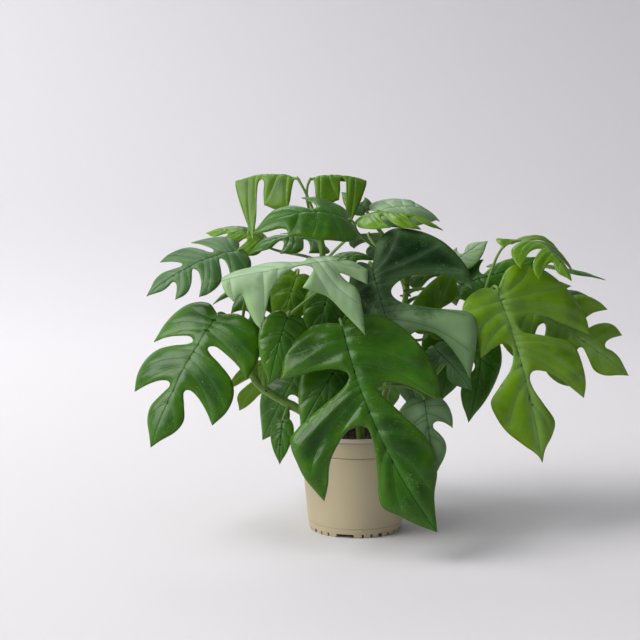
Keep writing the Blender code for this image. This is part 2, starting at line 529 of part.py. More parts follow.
def edge_distance(outline, place):
    least = 9.0
    for a, b in zip(outline, outline[1:] + outline[:1]):
        side = b - a
        t = max(0.0, min(1.0, (place - a).dot(side) / max(side.length_squared, 1e-12)))
        least = min(least, (place - a - side * t).length)
    return least


def fill_outline(outline, grid):
    """Triangles inside an outline, with an even net of points between its edges."""
    points = list(outline)
    rows = int(1.4 / (grid * 0.866)) + 1
    for row in range(-rows, rows + 1):
        v = row * grid * 0.866
        for column in range(-int(0.4 / grid), int(1.2 / grid) + 1):
            place = Vector(((column + 0.5 * (row % 2)) * grid, v))
            if inside(outline, place) and edge_distance(outline, place) > grid * 0.5:
                points.append(place)
    border = list(range(len(outline)))
    found = delaunay_2d_cdt(points, [], [border], 1, 1e-7)
    return found[0], found[2]


def bend(leaf, u, v):
    """The place on the bent blade of a point of the flat one."""
    along, across, up, length = leaf_axes(leaf)
    out = abs(v)
    fold = leaf["fold"] if v > 0 else leaf["fold_far"]
    lift = leaf["bow"] * 4 * u * (1 - u) - fold * out - leaf["droop"] * out * out
    lift -= leaf["twist"] * (u - 0.35) * out
    ribs = math.sin(2 * math.pi * VEIN_PAIRS * (u - 0.45 * out))
    lift += leaf["ripple"] * ribs * min(1.0, out * 5)
    return leaf["base"] + (along * u + across * v + up * lift) * length


def make_leaf(name, leaf, group, finishes):
    outline = leaf_outline(leaf, OUTLINE_STEP * leaf["detail"])
    points, faces = fill_outline(outline, GRID_STEP * leaf["detail"])
    verts = [bend(leaf, point.x, point.y) for point in points]
    item = mesh_object(name, verts, [], faces, group, finishes[leaf["tint"]])
    item.data.shade_smooth()
    solid = item.modifiers.new("thickness", "SOLIDIFY")
    solid.thickness = BLADE_THICKNESS
    solid.offset = 0.0
    solid.use_even_offset = False


def build():
    clear_scene()
    parts = new_collection("mini_monstera")
    cutters = new_collection("cutters")
    make_pot(parts, cutters)
    make_soil(parts, cutters)
    green = plain_material("stem_green", STEM_COLOUR, 0.4)
    for name in STEMS:
        make_stem(name, parts, cutters, green)
    finishes = {tint: plain_material(f"leaf_{tint}", colour, 0.35) for tint, colour in LEAF_COLOURS.items()}
    for name, leaf in LEAVES.items():
        make_leaf(name, leaf, parts, finishes)


build()
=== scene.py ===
"""The looks of a potted mini monstera: veined leaves, stems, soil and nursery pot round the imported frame."""

import math
import random

import bmesh
import bpy
import numpy as np
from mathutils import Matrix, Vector
from mathutils.geometry import delaunay_2d_cdt


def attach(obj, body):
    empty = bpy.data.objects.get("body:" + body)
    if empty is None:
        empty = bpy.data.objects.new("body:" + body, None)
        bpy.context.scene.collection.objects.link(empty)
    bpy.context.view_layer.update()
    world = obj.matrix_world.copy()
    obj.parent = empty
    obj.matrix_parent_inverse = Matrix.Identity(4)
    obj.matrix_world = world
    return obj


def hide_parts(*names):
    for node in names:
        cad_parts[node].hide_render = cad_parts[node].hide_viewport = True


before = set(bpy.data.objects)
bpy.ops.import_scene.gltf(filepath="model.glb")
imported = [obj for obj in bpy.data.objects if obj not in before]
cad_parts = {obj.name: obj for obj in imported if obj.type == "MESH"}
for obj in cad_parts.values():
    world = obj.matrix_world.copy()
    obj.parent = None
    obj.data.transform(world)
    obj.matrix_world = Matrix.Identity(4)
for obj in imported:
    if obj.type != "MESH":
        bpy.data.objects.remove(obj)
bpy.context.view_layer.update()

CM = 0.01
MM = 0.001

# Studio, in metres; a light's row is its name, place, aim, size, power, spread in degrees and tint
CAMERA_PLACE = (-0.0370, -1.40, 0.375)
CAMERA_TILT = math.radians(90 - 6.45)
CAMERA_LENS = 77.2
CAMERA_SENSOR = 36.0
FLOOR_FLAT = 1.9
FLOOR_CURVE = 3.7
FLOOR_PIECES, FLOOR_SIDES = 40, 96
ROOM_HEIGHT = 7.0
ROOM_TINT = (0.93, 0.96, 1.0, 1.0)
ROOM_LIGHT = 0.30
STUDIO_LIGHTS = [
    ("window_light", (-2.9, -0.9, 2.7), (0.0, 0.0, 0.15), 3.7, 96.0, 110.0, (1.0, 0.99, 0.97)),
    ("backdrop_light", (-2.2, 1.5, 4.6), (-2.4, 4.7, 0.5), 3.0, 99.0, 120.0, (1.0, 0.98, 1.0)),
    ("back_light", (-0.6, 2.4, 2.6), (0.0, 0.0, 0.2), 1.4, 8.0, 120.0, (1.0, 1.0, 1.0)),
]

# Pot, as the frame has it
POT_HEIGHT = 10.4 * CM
FOOT_RADIUS = 4.78 * CM
RIM_RADIUS = 6.0 * CM
LIP_BOTTOM = POT_HEIGHT - 0.45 * CM
LIP_OVERHANG = 0.10 * CM
BAND_BOTTOM = 8.35 * CM
BAND_STEP = 0.05 * CM
FOOT_TAPER_HEIGHT = 1.3 * CM
FOOT_TAPER = 0.13 * CM
FOOT_LINE = 0.95 * CM
WALL = 0.13 * CM
FLOOR_RAISE = 0.40 * CM
CENTRE_PAD_RADIUS = 1.2 * CM
FOOT_RING_WIDTH = 0.30 * CM
POT_SIDES = 288
SOFT_EDGE = 0.05 * CM
LIP_CORNER = 0.06 * CM
LIP_LOWER_CORNER = 0.6 * LIP_CORNER
LINE_DEPTH = 0.02 * CM
EDGE_ROUNDING = 0.03 * CM
EDGE_ANGLE = math.radians(38)

# Drain notches of a quarter of the foot: turn in degrees and width
FIRST_DRAIN_TURN = math.radians(-104.5)
NOTCHES = {0.0: 2.0 * CM, 22.0: 0.25 * CM, 33.0: 0.25 * CM, 45.0: 0.5 * CM, 57.0: 0.25 * CM,
           68.0: 0.25 * CM}
NOTCH_HEIGHT = 0.38 * CM
NOTCH_NARROWING = 0.12
NOTCH_DEPTH = FOOT_RING_WIDTH + 0.7 * CM
NOTCH_MIDDLE = FOOT_RADIUS - 0.15 * CM

# Soil; the wave is in radians to the metre, crumbs in millimetres, and pairs are ranges of draws
SOIL_TOP = 9.2 * CM
SOIL_GAP = 0.3 * MM
SOIL_RINGS = 44
SOIL_SIDES = 140
SOIL_WAVE = 170
SOIL_WAVES = (1, 1.5, 2.2, 3, 4.5, 6, 8)
SOIL_SWELL = 0.9 * MM
SOIL_DIP = 0.5 * MM
SOIL_GRAIN = 0.35 * MM
CRUMBS = 420
CRUMB_SIZES = (0.6, 0.8, 1.0, 1.0, 1.4, 2.1)
CRUMB_STRETCH = ((0.7, 1.5), (0.7, 1.5), (0.5, 1.0))
CRUMB_BUMPS = (0.75, 1.2)
CRUMB_DEPTH = 0.3 * MM
CRUMB_REACH = 0.96

# Stems and petioles; a clearance is from the end of the petiole's solid to its leaf's base, and
# SOLID_PIECES are those between two points of a stem in the frame
PETIOLE_RADIUS = 0.17 * CM
PETIOLE_TIP_RADIUS = 0.13 * CM
PETIOLE_CLEARANCE = 0.18 * CM
STEEP_CLEARANCE = 0.24 * CM
CREST_CLEARANCE = 0.13 * CM
SOLID_PIECES = 4
STEM_PIECES = 20
PETIOLE_PIECES = 40
STEM_TAPER = 0.3
NODE_SWELL = 0.13
NODE_REACH = 0.30 * CM
BUD_PIECES = 8
BUD_STEP = 0.16 * CM
BUD_START, BUD_TAPER = 0.97, 0.028
SHEATH_SWELL = 0.75
SHEATH_REACH = 1.1 * CM
KNEE_SWELL = 0.22
KNEE_REACH = 0.6 * CM
RIB_PIECES = 8
RIB_REACH = 0.09
RIB_START, RIB_TAPER = 1.15, 0.65
RIB_SINK = 1.05
GROOVE = 0.2
GROOVE_ANGLE = 0.45
# Shares of an aerial root's length, and its radius there
ROOT_SHAPE = {0.0: 1.265 * MM, 0.3: 1.155 * MM, 0.6: 1.045 * MM, 0.85: 0.825 * MM, 1.0: 0.44 * MM}
# Sides of the tubes, and the numbers of their finishes
STEM_SIDES, PETIOLE_SIDES, ROOT_SIDES = 24, 16, 10
STEM_SKIN, PETIOLE_SKIN, ROOT_SKIN = range(3)

# Blades: thickness and ribs in metres; steps, pleats and curled margins in leaf lengths
BLADE_THICKNESS = 0.7 * MM
RIB_HALF_WIDTH = 0.9 * MM
RIB_HEIGHT = 1.1 * MM
OUTLINE_STEP = 0.014
VEIN_STEP = 0.016
GRID_STEP = 0.019
ROW_SHARE = 0.866
NET_BEHIND, NET_AHEAD, NET_BESIDE = 0.35, 1.2, 0.8
PLEAT = 0.018
PLEAT_WIDTH = 0.045
MINOR_PLEAT = 0.011
MINOR_PLEAT_WIDTH = 0.030
PLEAT_LEVEL = 0.4
PLEAT_FADE = 0.035
QUILT_SLANT = 0.35
QUILT_RISE = 6
WAVE = 0.009
WAVE_TURN = 9
WAVE_RISE = 5
TWIST_LEVEL = 0.35
CURL = 0.014
CURL_WIDTH = 0.09
# A vein turns forward at these shares of its way along and out. Then how far it runs to the margin:
# to a lobe's tip, a shoulder, the last part of the leaf, or a leaf without lobes
VEIN_PIECES = 14
VEIN_TURN = (0.28, 0.66)
MAIN_REACH, SHOULDER_REACH, END_REACH, WHOLE_REACH = 0.97, 0.92, 0.88, 0.9
# What leaves without their own values draw from: tone, pleats with quilting, and sway of the midrib
USUAL_TONE = (-0.12, 0.12)
USUAL_RELIEF = ((0.8, 1.15), (0.001, 0.003), (0.09, 0.15))
USUAL_SWAY = (-0.02, 0.02)

# A leaf outline is drawn in leaf lengths: along the midrib from the base (0) to the tip (1), and
# out from the midrib. SHARP marks a pointed lobe; all other points are rounded through.
SHARP = True

FRONT_RIGHT = [
    (-0.01, 0.06), (0.02, 0.15), (0.09, 0.22), (0.20, 0.27), (0.32, 0.29), (0.41, 0.28),
    (0.48, 0.24, SHARP), (0.42, 0.19), (0.37, 0.145), (0.33, 0.09), (0.315, 0.04), (0.34, 0.02),
    (0.42, 0.05), (0.52, 0.09), (0.61, 0.125), (0.69, 0.13), (0.77, 0.105), (0.86, 0.05)]
FRONT_LEFT = [
    (-0.03, 0.06), (-0.045, 0.13), (-0.02, 0.22), (0.02, 0.29), (0.08, 0.325), (0.115, 0.35, SHARP),
    (0.13, 0.28), (0.145, 0.19), (0.175, 0.11), (0.215, 0.07), (0.25, 0.085), (0.28, 0.15), (0.31, 0.26),
    (0.355, 0.39), (0.40, 0.425), (0.48, 0.43), (0.56, 0.425), (0.68, 0.39, SHARP), (0.62, 0.345),
    (0.54, 0.30), (0.485, 0.24), (0.45, 0.18), (0.445, 0.13), (0.47, 0.09), (0.56, 0.10), (0.66, 0.13),
    (0.75, 0.165), (0.81, 0.17), (0.87, 0.12), (0.93, 0.07)]
TORN_RIGHT = [
    (-0.05, 0.04), (-0.10, 0.09), (-0.12, 0.16), (-0.10, 0.25), (-0.04, 0.34), (0.06, 0.42), (0.16, 0.47),
    (0.27, 0.495), (0.37, 0.49, SHARP), (0.31, 0.40), (0.25, 0.31), (0.20, 0.23), (0.175, 0.15),
    (0.185, 0.08), (0.225, 0.06), (0.27, 0.09), (0.30, 0.17), (0.34, 0.27), (0.38, 0.355), (0.44, 0.385),
    (0.54, 0.395), (0.63, 0.385), (0.71, 0.35, SHARP), (0.63, 0.28), (0.56, 0.22), (0.51, 0.15),
    (0.49, 0.08), (0.52, 0.045), (0.59, 0.05), (0.69, 0.09), (0.79, 0.13), (0.86, 0.10), (0.93, 0.035)]
TORN_LEFT = [
    (-0.03, 0.06), (-0.02, 0.13), (0.02, 0.20), (0.08, 0.23), (0.15, 0.22), (0.21, 0.19), (0.27, 0.19),
    (0.35, 0.20, SHARP), (0.315, 0.12), (0.30, 0.06), (0.33, 0.015), (0.39, 0.02), (0.46, 0.06),
    (0.53, 0.14), (0.60, 0.21), (0.69, 0.20), (0.78, 0.16), (0.87, 0.09), (0.95, 0.02)]
BROAD = [
    (-0.06, 0.04), (-0.13, 0.08), (-0.17, 0.15), (-0.17, 0.23), (-0.10, 0.36), (0.0, 0.46), (0.12, 0.52),
    (0.22, 0.545), (0.33, 0.53, SHARP), (0.25, 0.47), (0.19, 0.39), (0.15, 0.28), (0.135, 0.17),
    (0.165, 0.08), (0.21, 0.06), (0.27, 0.10), (0.33, 0.20), (0.39, 0.33), (0.44, 0.44), (0.49, 0.485),
    (0.58, 0.475), (0.70, 0.42), (0.84, 0.34, SHARP), (0.74, 0.325), (0.62, 0.29), (0.52, 0.235),
    (0.47, 0.15), (0.48, 0.08), (0.54, 0.06), (0.63, 0.09), (0.73, 0.13), (0.82, 0.11), (0.91, 0.05)]
STAR_NEAR = [
    (-0.03, 0.01), (-0.13, 0.02), (-0.24, 0.10, SHARP), (-0.20, 0.24, SHARP), (-0.08, 0.16), (0.01, 0.12),
    (-0.02, 0.18), (-0.10, 0.28), (-0.10, 0.45), (-0.07, 0.67, SHARP), (0.0, 0.57), (0.08, 0.45),
    (0.16, 0.33), (0.25, 0.28), (0.36, 0.23, SHARP), (0.28, 0.14), (0.23, 0.07), (0.27, 0.03), (0.35, 0.02),
    (0.43, 0.05), (0.54, 0.12), (0.63, 0.22), (0.70, 0.36), (0.77, 0.50, SHARP), (0.81, 0.42), (0.84, 0.29),
    (0.86, 0.17), (0.94, 0.21, SHARP), (0.99, 0.11)]
STAR_FAR = [
    (-0.03, 0.03), (-0.04, 0.10), (0.02, 0.17), (0.12, 0.20), (0.22, 0.19, SHARP), (0.25, 0.11),
    (0.30, 0.08), (0.37, 0.12), (0.50, 0.21), (0.62, 0.24), (0.75, 0.23), (0.87, 0.19), (0.96, 0.11)]
SPLIT = [
    (-0.03, 0.05), (-0.06, 0.12), (-0.05, 0.22), (0.0, 0.31), (0.09, 0.37), (0.20, 0.40),
    (0.33, 0.40, SHARP), (0.27, 0.31), (0.23, 0.20), (0.21, 0.11), (0.235, 0.065), (0.27, 0.10),
    (0.31, 0.20), (0.37, 0.31), (0.46, 0.37), (0.58, 0.375), (0.70, 0.33, SHARP), (0.63, 0.25),
    (0.57, 0.16), (0.55, 0.09), (0.58, 0.06), (0.66, 0.10), (0.75, 0.14), (0.84, 0.12), (0.93, 0.05)]
FINGERS = [
    (-0.03, 0.05), (-0.05, 0.12), (-0.02, 0.21), (0.06, 0.29), (0.16, 0.34), (0.27, 0.36, SHARP),
    (0.225, 0.27), (0.195, 0.17), (0.19, 0.09), (0.215, 0.055), (0.24, 0.09), (0.275, 0.19), (0.33, 0.30),
    (0.42, 0.36), (0.52, 0.375), (0.60, 0.36, SHARP), (0.52, 0.26), (0.48, 0.16), (0.475, 0.09),
    (0.50, 0.05), (0.53, 0.09), (0.58, 0.18), (0.65, 0.25), (0.72, 0.27), (0.80, 0.25, SHARP), (0.74, 0.17),
    (0.71, 0.10), (0.73, 0.06), (0.79, 0.075), (0.86, 0.07), (0.94, 0.03)]
WHOLE = [
    (-0.03, 0.05), (-0.05, 0.13), (-0.01, 0.22), (0.10, 0.30), (0.26, 0.34), (0.44, 0.31), (0.62, 0.24),
    (0.78, 0.15), (0.90, 0.06)]
ONE_CUT = [
    (-0.03, 0.05), (-0.05, 0.13), (0.0, 0.23), (0.12, 0.31), (0.27, 0.34), (0.42, 0.32, SHARP),
    (0.34, 0.22), (0.31, 0.12), (0.34, 0.06), (0.40, 0.06), (0.47, 0.12), (0.57, 0.18), (0.68, 0.19),
    (0.80, 0.14), (0.91, 0.06)]
CURTAIN = [
    (0.03, 0.04), (0.05, 0.20), (0.06, 0.42), (0.11, 0.51), (0.28, 0.54), (0.46, 0.50, SHARP), (0.49, 0.32),
    (0.50, 0.16), (0.55, 0.09), (0.60, 0.16), (0.59, 0.42), (0.57, 0.64), (0.59, 0.92, SHARP), (0.74, 0.66),
    (0.87, 0.40), (0.97, 0.14)]
RIDGE = [
    (0.03, 0.08), (0.18, 0.19), (0.40, 0.18), (0.60, 0.20), (0.80, 0.16), (0.94, 0.06)]
LAZY = [
    (-0.04, 0.05), (-0.06, 0.15), (0.0, 0.26), (0.13, 0.33), (0.30, 0.35), (0.46, 0.32), (0.58, 0.27),
    (0.69, 0.24, SHARP), (0.68, 0.17), (0.75, 0.12), (0.86, 0.09), (0.94, 0.05)]

# Each stem's radius and the points that it passes, in centimetres
STEMS = {
    "stem_front": (0.42, [(0.6, -2.4, 7.2), (0.4, -2.8, 10.5), (-0.2, -3.8, 14.5), (0.3, -3.2, 19.0),
                          (1.0, -2.0, 23.0)]),
    "stem_right": (0.40, [(3.0, -0.2, 7.2), (4.2, -0.4, 11.0), (7.2, -0.2, 15.0), (10.2, 0.4, 18.6),
                          (12.6, 0.8, 21.4)]),
    "stem_left": (0.48, [(-1.5, -2.7, 7.2), (-2.8, -3.3, 11.0), (-6.0, -3.6, 13.1), (-10.0, -3.0, 15.6),
                         (-11.6, -1.8, 19.6)]),
    "stem_back": (0.40, [(-1.6, 2.2, 7.2), (-2.2, 3.4, 12.0), (-3.4, 4.4, 18.0), (-3.6, 4.2, 24.0),
                         (-3.4, 3.4, 28.5)]),
    "stem_back_right": (0.38, [(2.2, 2.6, 7.2), (3.0, 3.8, 12.0), (4.2, 4.6, 17.5), (5.2, 4.8, 22.5),
                               (5.6, 4.4, 26.0)]),
}


def blade(stem, node, base, tip, face, near, far, tint, **form):
    """One leaf: base and tip in centimetres, face the way its upper side looks. near is the outline
    on the side of face x (tip - base), far the other. form bends it, in leaf lengths. It may also give
    the leaf's look, its tone at the base with the change to the tip (above 0 is darker), its relief
    (pleats against the usual ones, height and length of the quilting) and the sway of its midrib."""
    shape = dict(bow=0.05, fold=0.12, droop=0.25, twist=0.0, arrive=(0.75, 0.66, 0.0),
                 clearance=PETIOLE_CLEARANCE, width=1.0, detail=1.0)
    shape.update(form)
    shape.setdefault("fold_far", shape["fold"])
    shape.setdefault("width_far", shape["width"])
    return dict(stem=stem, node=node, base=Vector(base) * CM, tip=Vector(tip) * CM, face=Vector(face),
                near=near, far=far, tint=tint, **shape)


LEAVES = {
    "leaf_front": blade(
        "stem_front", 0.62, (-1.6, -9.0, 22.4), (7.3, -14.5, 3.3), (0, -1, 0.25), FRONT_RIGHT, FRONT_LEFT,
        "deep", bow=0.04, fold=0.10, droop=0.15, detail=0.72, tone=(0.0, 0.16), relief=(1.35, 0.0075, 0.13),
        sway=-0.055),
    "leaf_right": blade(
        "stem_right", 0.95, (14.1, -3.6, 25.1), (18.4, -6.6, 8.2), (0.2, -1, 0.3), TORN_RIGHT, TORN_LEFT,
        "bright", bow=0.03, fold=0.10, droop=0.10, detail=0.75, tone=(-0.1, 0.1),
        relief=(1.45, 0.0040, 0.14), sway=0.02),
    # leaf_broad's tone is a painted shade: near black at its top (the base), paler towards its lower lobe.
    "leaf_broad": blade(
        "stem_front", 0.98, (1.4, -4.5, 27.6), (6.6, -7.4, 12.4), (-0.13, -1, 0.3), BROAD, ONE_CUT, "deep",
        fold=0.10, fold_far=0.4, droop=0.12, width_far=0.6, clearance=STEEP_CLEARANCE, detail=0.8,
        look="matte", tone=(0.5, -1.4), relief=(0.9, 0.0030, 0.15), sway=-0.02),
    "leaf_pale_star": blade(
        "stem_left", 0.80, (-2.0, -8.0, 28.5), (-13.1, -10.0, 26.6), (0, -0.75, 0.65), STAR_NEAR, STAR_FAR,
        "glaucous", fold=0.15, fold_far=0.9, droop=0.15, arrive=(0.2, 0.98, 0.0), look="pale",
        tone=(-0.15, 0.0), sway=0.02),
    "leaf_top_right": blade(
        "stem_right", 0.84, (15.8, 0.0, 29.8), (20.8, -7.0, 26.4), (0.2, -0.3, 1), SPLIT, FINGERS, "bright",
        bow=0.16, fold=0.1, twist=1.1, droop=0.4, look="young"),
    "leaf_right_behind": blade(
        "stem_right", 0.72, (17.0, 0.6, 23.6), (28.1, -0.4, 16.0), (0.25, -1, 0.4), FINGERS, SPLIT,
        "bright", bow=0.08),
    "leaf_far_right": blade(
        "stem_right", 0.60, (15.3, 8.0, 26.7), (27.4, 9.0, 25.2), (0, -0.12, 1), SPLIT, ONE_CUT, "glaucous",
        bow=0.06, width=0.6),
    "leaf_right_dark": blade(
        "stem_back_right", 0.80, (11.0, 3.2, 25.0), (18.2, 3.2, 26.8), (0.1, -0.8, 0.6), ONE_CUT, WHOLE,
        "deep", bow=0.08),
    "leaf_back_low": blade(
        "stem_back_right", 0.70, (18.6, 10.0, 23.2), (27.9, 12.0, 22.0), (0.1, -0.5, 1), ONE_CUT, WHOLE,
        "glaucous", bow=0.08),
    "leaf_hanging": blade(
        "stem_right", 0.45, (12.8, -1.8, 20.4), (11.4, -2.8, 11.5), (0.2, -1, 0.1), WHOLE, ONE_CUT, "deep",
        width=0.8),
    "leaf_low_front": blade(
        "stem_front", 0.30, (6.4, -9.2, 15.0), (7.4, -11.0, 8.0), (0.1, -1, 0.3), ONE_CUT, WHOLE,
        "glaucous", arrive=(0.9, 0.3, 0.3), clearance=STEEP_CLEARANCE, look="matte", tone=(-0.25, 0.0)),
    "leaf_low_left": blade(
        "stem_front", 0.50, (-1.2, -7.0, 19.2), (-5.6, -9.4, 12.0), (0, -1, 0.35), WHOLE, WHOLE, "deep"),
    "leaf_inner_bright": blade(
        "stem_front", 0.82, (7.3, -0.8, 20.4), (9.8, -0.2, 27.2), (0.1, -1, 0.2), WHOLE, ONE_CUT, "bright",
        arrive=(0.9, 0.3, 0.0), look="young"),
    "leaf_inner_dark": blade(
        "stem_front", 0.72, (-2.6, -2.8, 25.4), (-4.6, -3.4, 18.6), (0, -1, 0.2), WHOLE, WHOLE, "deep",
        width=0.9),
    "leaf_left_small": blade(
        "stem_left", 0.62, (-6.8, -7.5, 22.9), (-8.6, -9.0, 16.4), (0, -1, 0.3), WHOLE, WHOLE, "deep"),
    "leaf_left_young": blade(
        "stem_left", 0.72, (-6.0, -1.2, 26.4), (-7.8, -1.6, 20.2), (0.1, -1, 0.3), WHOLE, WHOLE, "bright",
        look="young"),
    "leaf_left_low": blade(
        "stem_left", 0.42, (-7.4, -5.2, 12.2), (-7.7, -6.5, 8.0), (-0.3, -1, 0.2), WHOLE, WHOLE, "deep",
        width=0.8),
    "leaf_left_outer": blade(
        "stem_left", 0.90, (-14.0, -3.4, 22.6), (-20.4, -7.6, 10.0), (-0.5, -1, 0.4), SPLIT, SPLIT, "deep",
        detail=0.9),
    "leaf_left_upper": blade(
        "stem_left", 0.98, (-12.0, -1.0, 29.0), (-21.0, -4.0, 24.6), (-0.2, -0.7, 0.8), FINGERS, SPLIT,
        "glaucous", bow=0.10),
    "leaf_top_pale": blade(
        "stem_back_right", 0.98, (2.5, 3.4, 32.8), (9.1, 6.4, 31.6), (0, -0.6, 1), LAZY, WHOLE, "glaucous",
        bow=0.16, fold=0.2, width=1.15, look="pale"),
    "leaf_top_edge": blade(
        "stem_back_right", 0.90, (0.6, -0.8, 32.3), (8.8, -0.6, 31.0), (0, -0.2, 1), ONE_CUT, SPLIT,
        "bright", bow=0.12, look="young"),
    "leaf_top_left": blade(
        "stem_back", 0.84, (-0.9, -3.4, 32.2), (-10.3, -5.0, 30.9), (0, -0.7, 1), LAZY, ONE_CUT, "deep",
        bow=0.18, width=1.1),
    # The arch leaves' tone is a painted shade, darker along each leaf towards its tip.
    "leaf_arch_left": blade(
        "stem_back", 0.99, (-6.1, 1.5, 36.3), (-12.5, 3.5, 35.9), (0.0, 0.0, 1), CURTAIN, RIDGE, "bright",
        bow=0.08, fold=1.6, fold_far=0.3, width=0.53, droop=0.9, arrive=(0.5, 0.85, 0.0),
        clearance=CREST_CLEARANCE, look="young", tone=(0.2, 0.6), relief=(2.0, 0.010, 0.3)),
    "leaf_arch_right": blade(
        "stem_back", 0.93, (-4.6, 3.8, 36.2), (1.2, 5.0, 35.9), (0.0, 0.0, 1), RIDGE, CURTAIN, "bright",
        bow=0.08, fold=0.3, fold_far=1.6, width_far=0.53, droop=0.9, arrive=(0.5, 0.85, 0.0),
        clearance=CREST_CLEARANCE, look="young", tone=(0.1, 0.6), relief=(2.0, 0.010, 0.3)),
    "leaf_centre_back": blade(
        "stem_back", 0.90, (-3.8, 7.6, 29.4), (-11.2, 4.4, 28.2), (0, -0.3, 1), SPLIT, ONE_CUT, "deep",
        bow=0.15),
    "leaf_back_left": blade(
        "stem_back", 0.74, (-6.4, 8.0, 25.6), (-15.5, 9.5, 22.4), (-0.3, 0.2, 1), SPLIT, SPLIT, "deep",
        bow=0.12),
    "leaf_back": blade(
        "stem_back", 0.60, (-1.2, 9.4, 24.0), (-2.6, 17.5, 13.0), (0, 1, 0.5), SPLIT, FINGERS, "deep",
        bow=0.10),
    "leaf_back_right": blade(
        "stem_back_right", 0.86, (7.6, 9.6, 28.0), (12.0, 17.0, 21.5), (0.3, 0.8, 0.9), SPLIT, SPLIT,
        "deep", bow=0.10),
    "leaf_top_small": blade(
        "stem_back_right", 0.94, (1.2, 6.0, 32.7), (-1.4, 8.4, 34.6), (-0.2, -0.7, 1), WHOLE, ONE_CUT,
        "glaucous", detail=1.3),
    "leaf_centre_dark": blade(
        "stem_back", 0.80, (-3.5, -0.2, 27.0), (2.0, -1.8, 28.0), (0, -0.6, 1), WHOLE, LAZY, "deep",
        bow=0.14, width_far=0.5, detail=1.25, arrive=(0.6, 0.8, 0.0), clearance=STEEP_CLEARANCE),
    "leaf_right_pale": blade(
        "stem_back_right", 0.92, (10.1, 3.5, 27.2), (14.1, 5.5, 29.5), (0, -0.7, 1), ONE_CUT, WHOLE,
        "glaucous", detail=1.3, look="pale"),
    "leaf_right_high": blade(
        "stem_right", 0.90, (15.1, 4.5, 25.6), (19.2, 5.5, 27.8), (0, -0.8, 0.7), WHOLE, WHOLE, "deep",
        detail=1.3),
    "leaf_mid_left": blade(
        "stem_back", 0.55, (-9.4, 1.6, 24.4), (-12.4, 1.2, 16.8), (-0.2, -1, 0.3), SPLIT, ONE_CUT, "deep",
        bow=0.08, detail=1.2),
    "leaf_upper_left": blade(
        "stem_back", 0.88, (-9.9, 6.5, 29.3), (-16.1, 9.0, 30.2), (0, -0.5, 1), SPLIT, WHOLE, "bright",
        bow=0.12, detail=1.2, look="young"),
    "leaf_mid_back": blade(
        "stem_back", 0.40, (2.0, 1.6, 24.0), (-1.6, 1.2, 16.2), (0, -1, 0.4), ONE_CUT, WHOLE, "deep",
        detail=1.25),
    "leaf_low_back_right": blade(
        "stem_back_right", 0.45, (10.7, 4.0, 21.0), (8.8, 3.0, 12.4), (0.2, -1, 0.2), WHOLE, LAZY, "deep",
        detail=1.25),
    "leaf_low_right": blade(
        "stem_right", 0.35, (7.8, -3.0, 19.2), (11.4, -5.5, 15.3), (0.2, -1, 0.3), WHOLE, ONE_CUT,
        "glaucous", detail=1.3),
    "leaf_low_back_left": blade(
        "stem_back", 0.30, (-5.8, 4.5, 16.2), (-10.0, 6.5, 7.8), (-0.4, -1, 0.3), ONE_CUT, WHOLE, "deep",
        detail=1.25),
    "leaf_back_middle": blade(
        "stem_back_right", 0.50, (1.6, 9.5, 19.0), (4.4, 15.5, 9.5), (0.2, 1, 0.4), LAZY, SPLIT, "deep",
        detail=1.25),
    "leaf_back_low_left": blade(
        "stem_back", 0.48, (-6.8, 7.0, 18.5), (-12.8, 12.0, 10.2), (-0.5, 0.8, 0.4), SPLIT, LAZY, "bright",
        detail=1.25),
    "leaf_back_high": blade(
        "stem_back_right", 0.82, (1.6, 8.4, 30.2), (3.6, 14.8, 26.4), (0.1, 0.6, 1), ONE_CUT, LAZY,
        "glaucous", detail=1.25),
}

# Leaf greens: upper side, its darker patches (partly painted shade), the pale zone along the midrib
# (partly a painted sheen), margin, underside and the lines of the veins (partly painted crease shade)
LEAF_GREENS = {
    "deep": dict(face=(0.036, 0.140, 0.003), dark=(0.012, 0.062, 0.002), pale=(0.060, 0.19, 0.020),
                 margin=(0.075, 0.205, 0.004), under=(0.11, 0.25, 0.03), line=(0.016, 0.070, 0.008),
                 rough=0.25, shine=0.30, zone=8 * MM),
    "bright": dict(face=(0.165, 0.350, 0.002), dark=(0.055, 0.155, 0.002), pale=(0.25, 0.43, 0.12),
                   margin=(0.17, 0.32, 0.003), under=(0.19, 0.38, 0.02), line=(0.17, 0.31, 0.05),
                   rough=0.30, shine=0.22, zone=12 * MM),
    "young": dict(face=(0.110, 0.265, 0.002), dark=(0.030, 0.110, 0.002), pale=(0.16, 0.32, 0.04),
                  margin=(0.15, 0.30, 0.003), under=(0.17, 0.34, 0.01), line=(0.12, 0.26, 0.03),
                  rough=0.28, shine=0.24, zone=5 * MM),
    # Bluish-grey greens: partly the leaves' own colour, partly a painted sky reflection.
    "glaucous": dict(face=(0.062, 0.155, 0.045), dark=(0.028, 0.090, 0.025), pale=(0.12, 0.24, 0.10),
                     margin=(0.070, 0.200, 0.020), under=(0.13, 0.26, 0.08), line=(0.018, 0.065, 0.020),
                     rough=0.40, shine=0.34, zone=8 * MM),
    # Its near-black dark green is a painted shade, laid over leaf_broad's top through its tone.
    "matte": dict(face=(0.230, 0.380, 0.180), dark=(0.002, 0.024, 0.001), pale=(0.11, 0.21, 0.09),
                  margin=(0.080, 0.190, 0.050), under=(0.13, 0.26, 0.08), line=(0.020, 0.060, 0.020),
                  rough=0.46, shine=0.20, zone=8 * MM),
    "pale": dict(face=(0.350, 0.520, 0.300), dark=(0.160, 0.300, 0.130), pale=(0.38, 0.52, 0.32),
                 margin=(0.150, 0.330, 0.050), under=(0.24, 0.40, 0.12), line=(0.090, 0.200, 0.065),
                 rough=0.42, shine=0.34, zone=10 * MM),
}


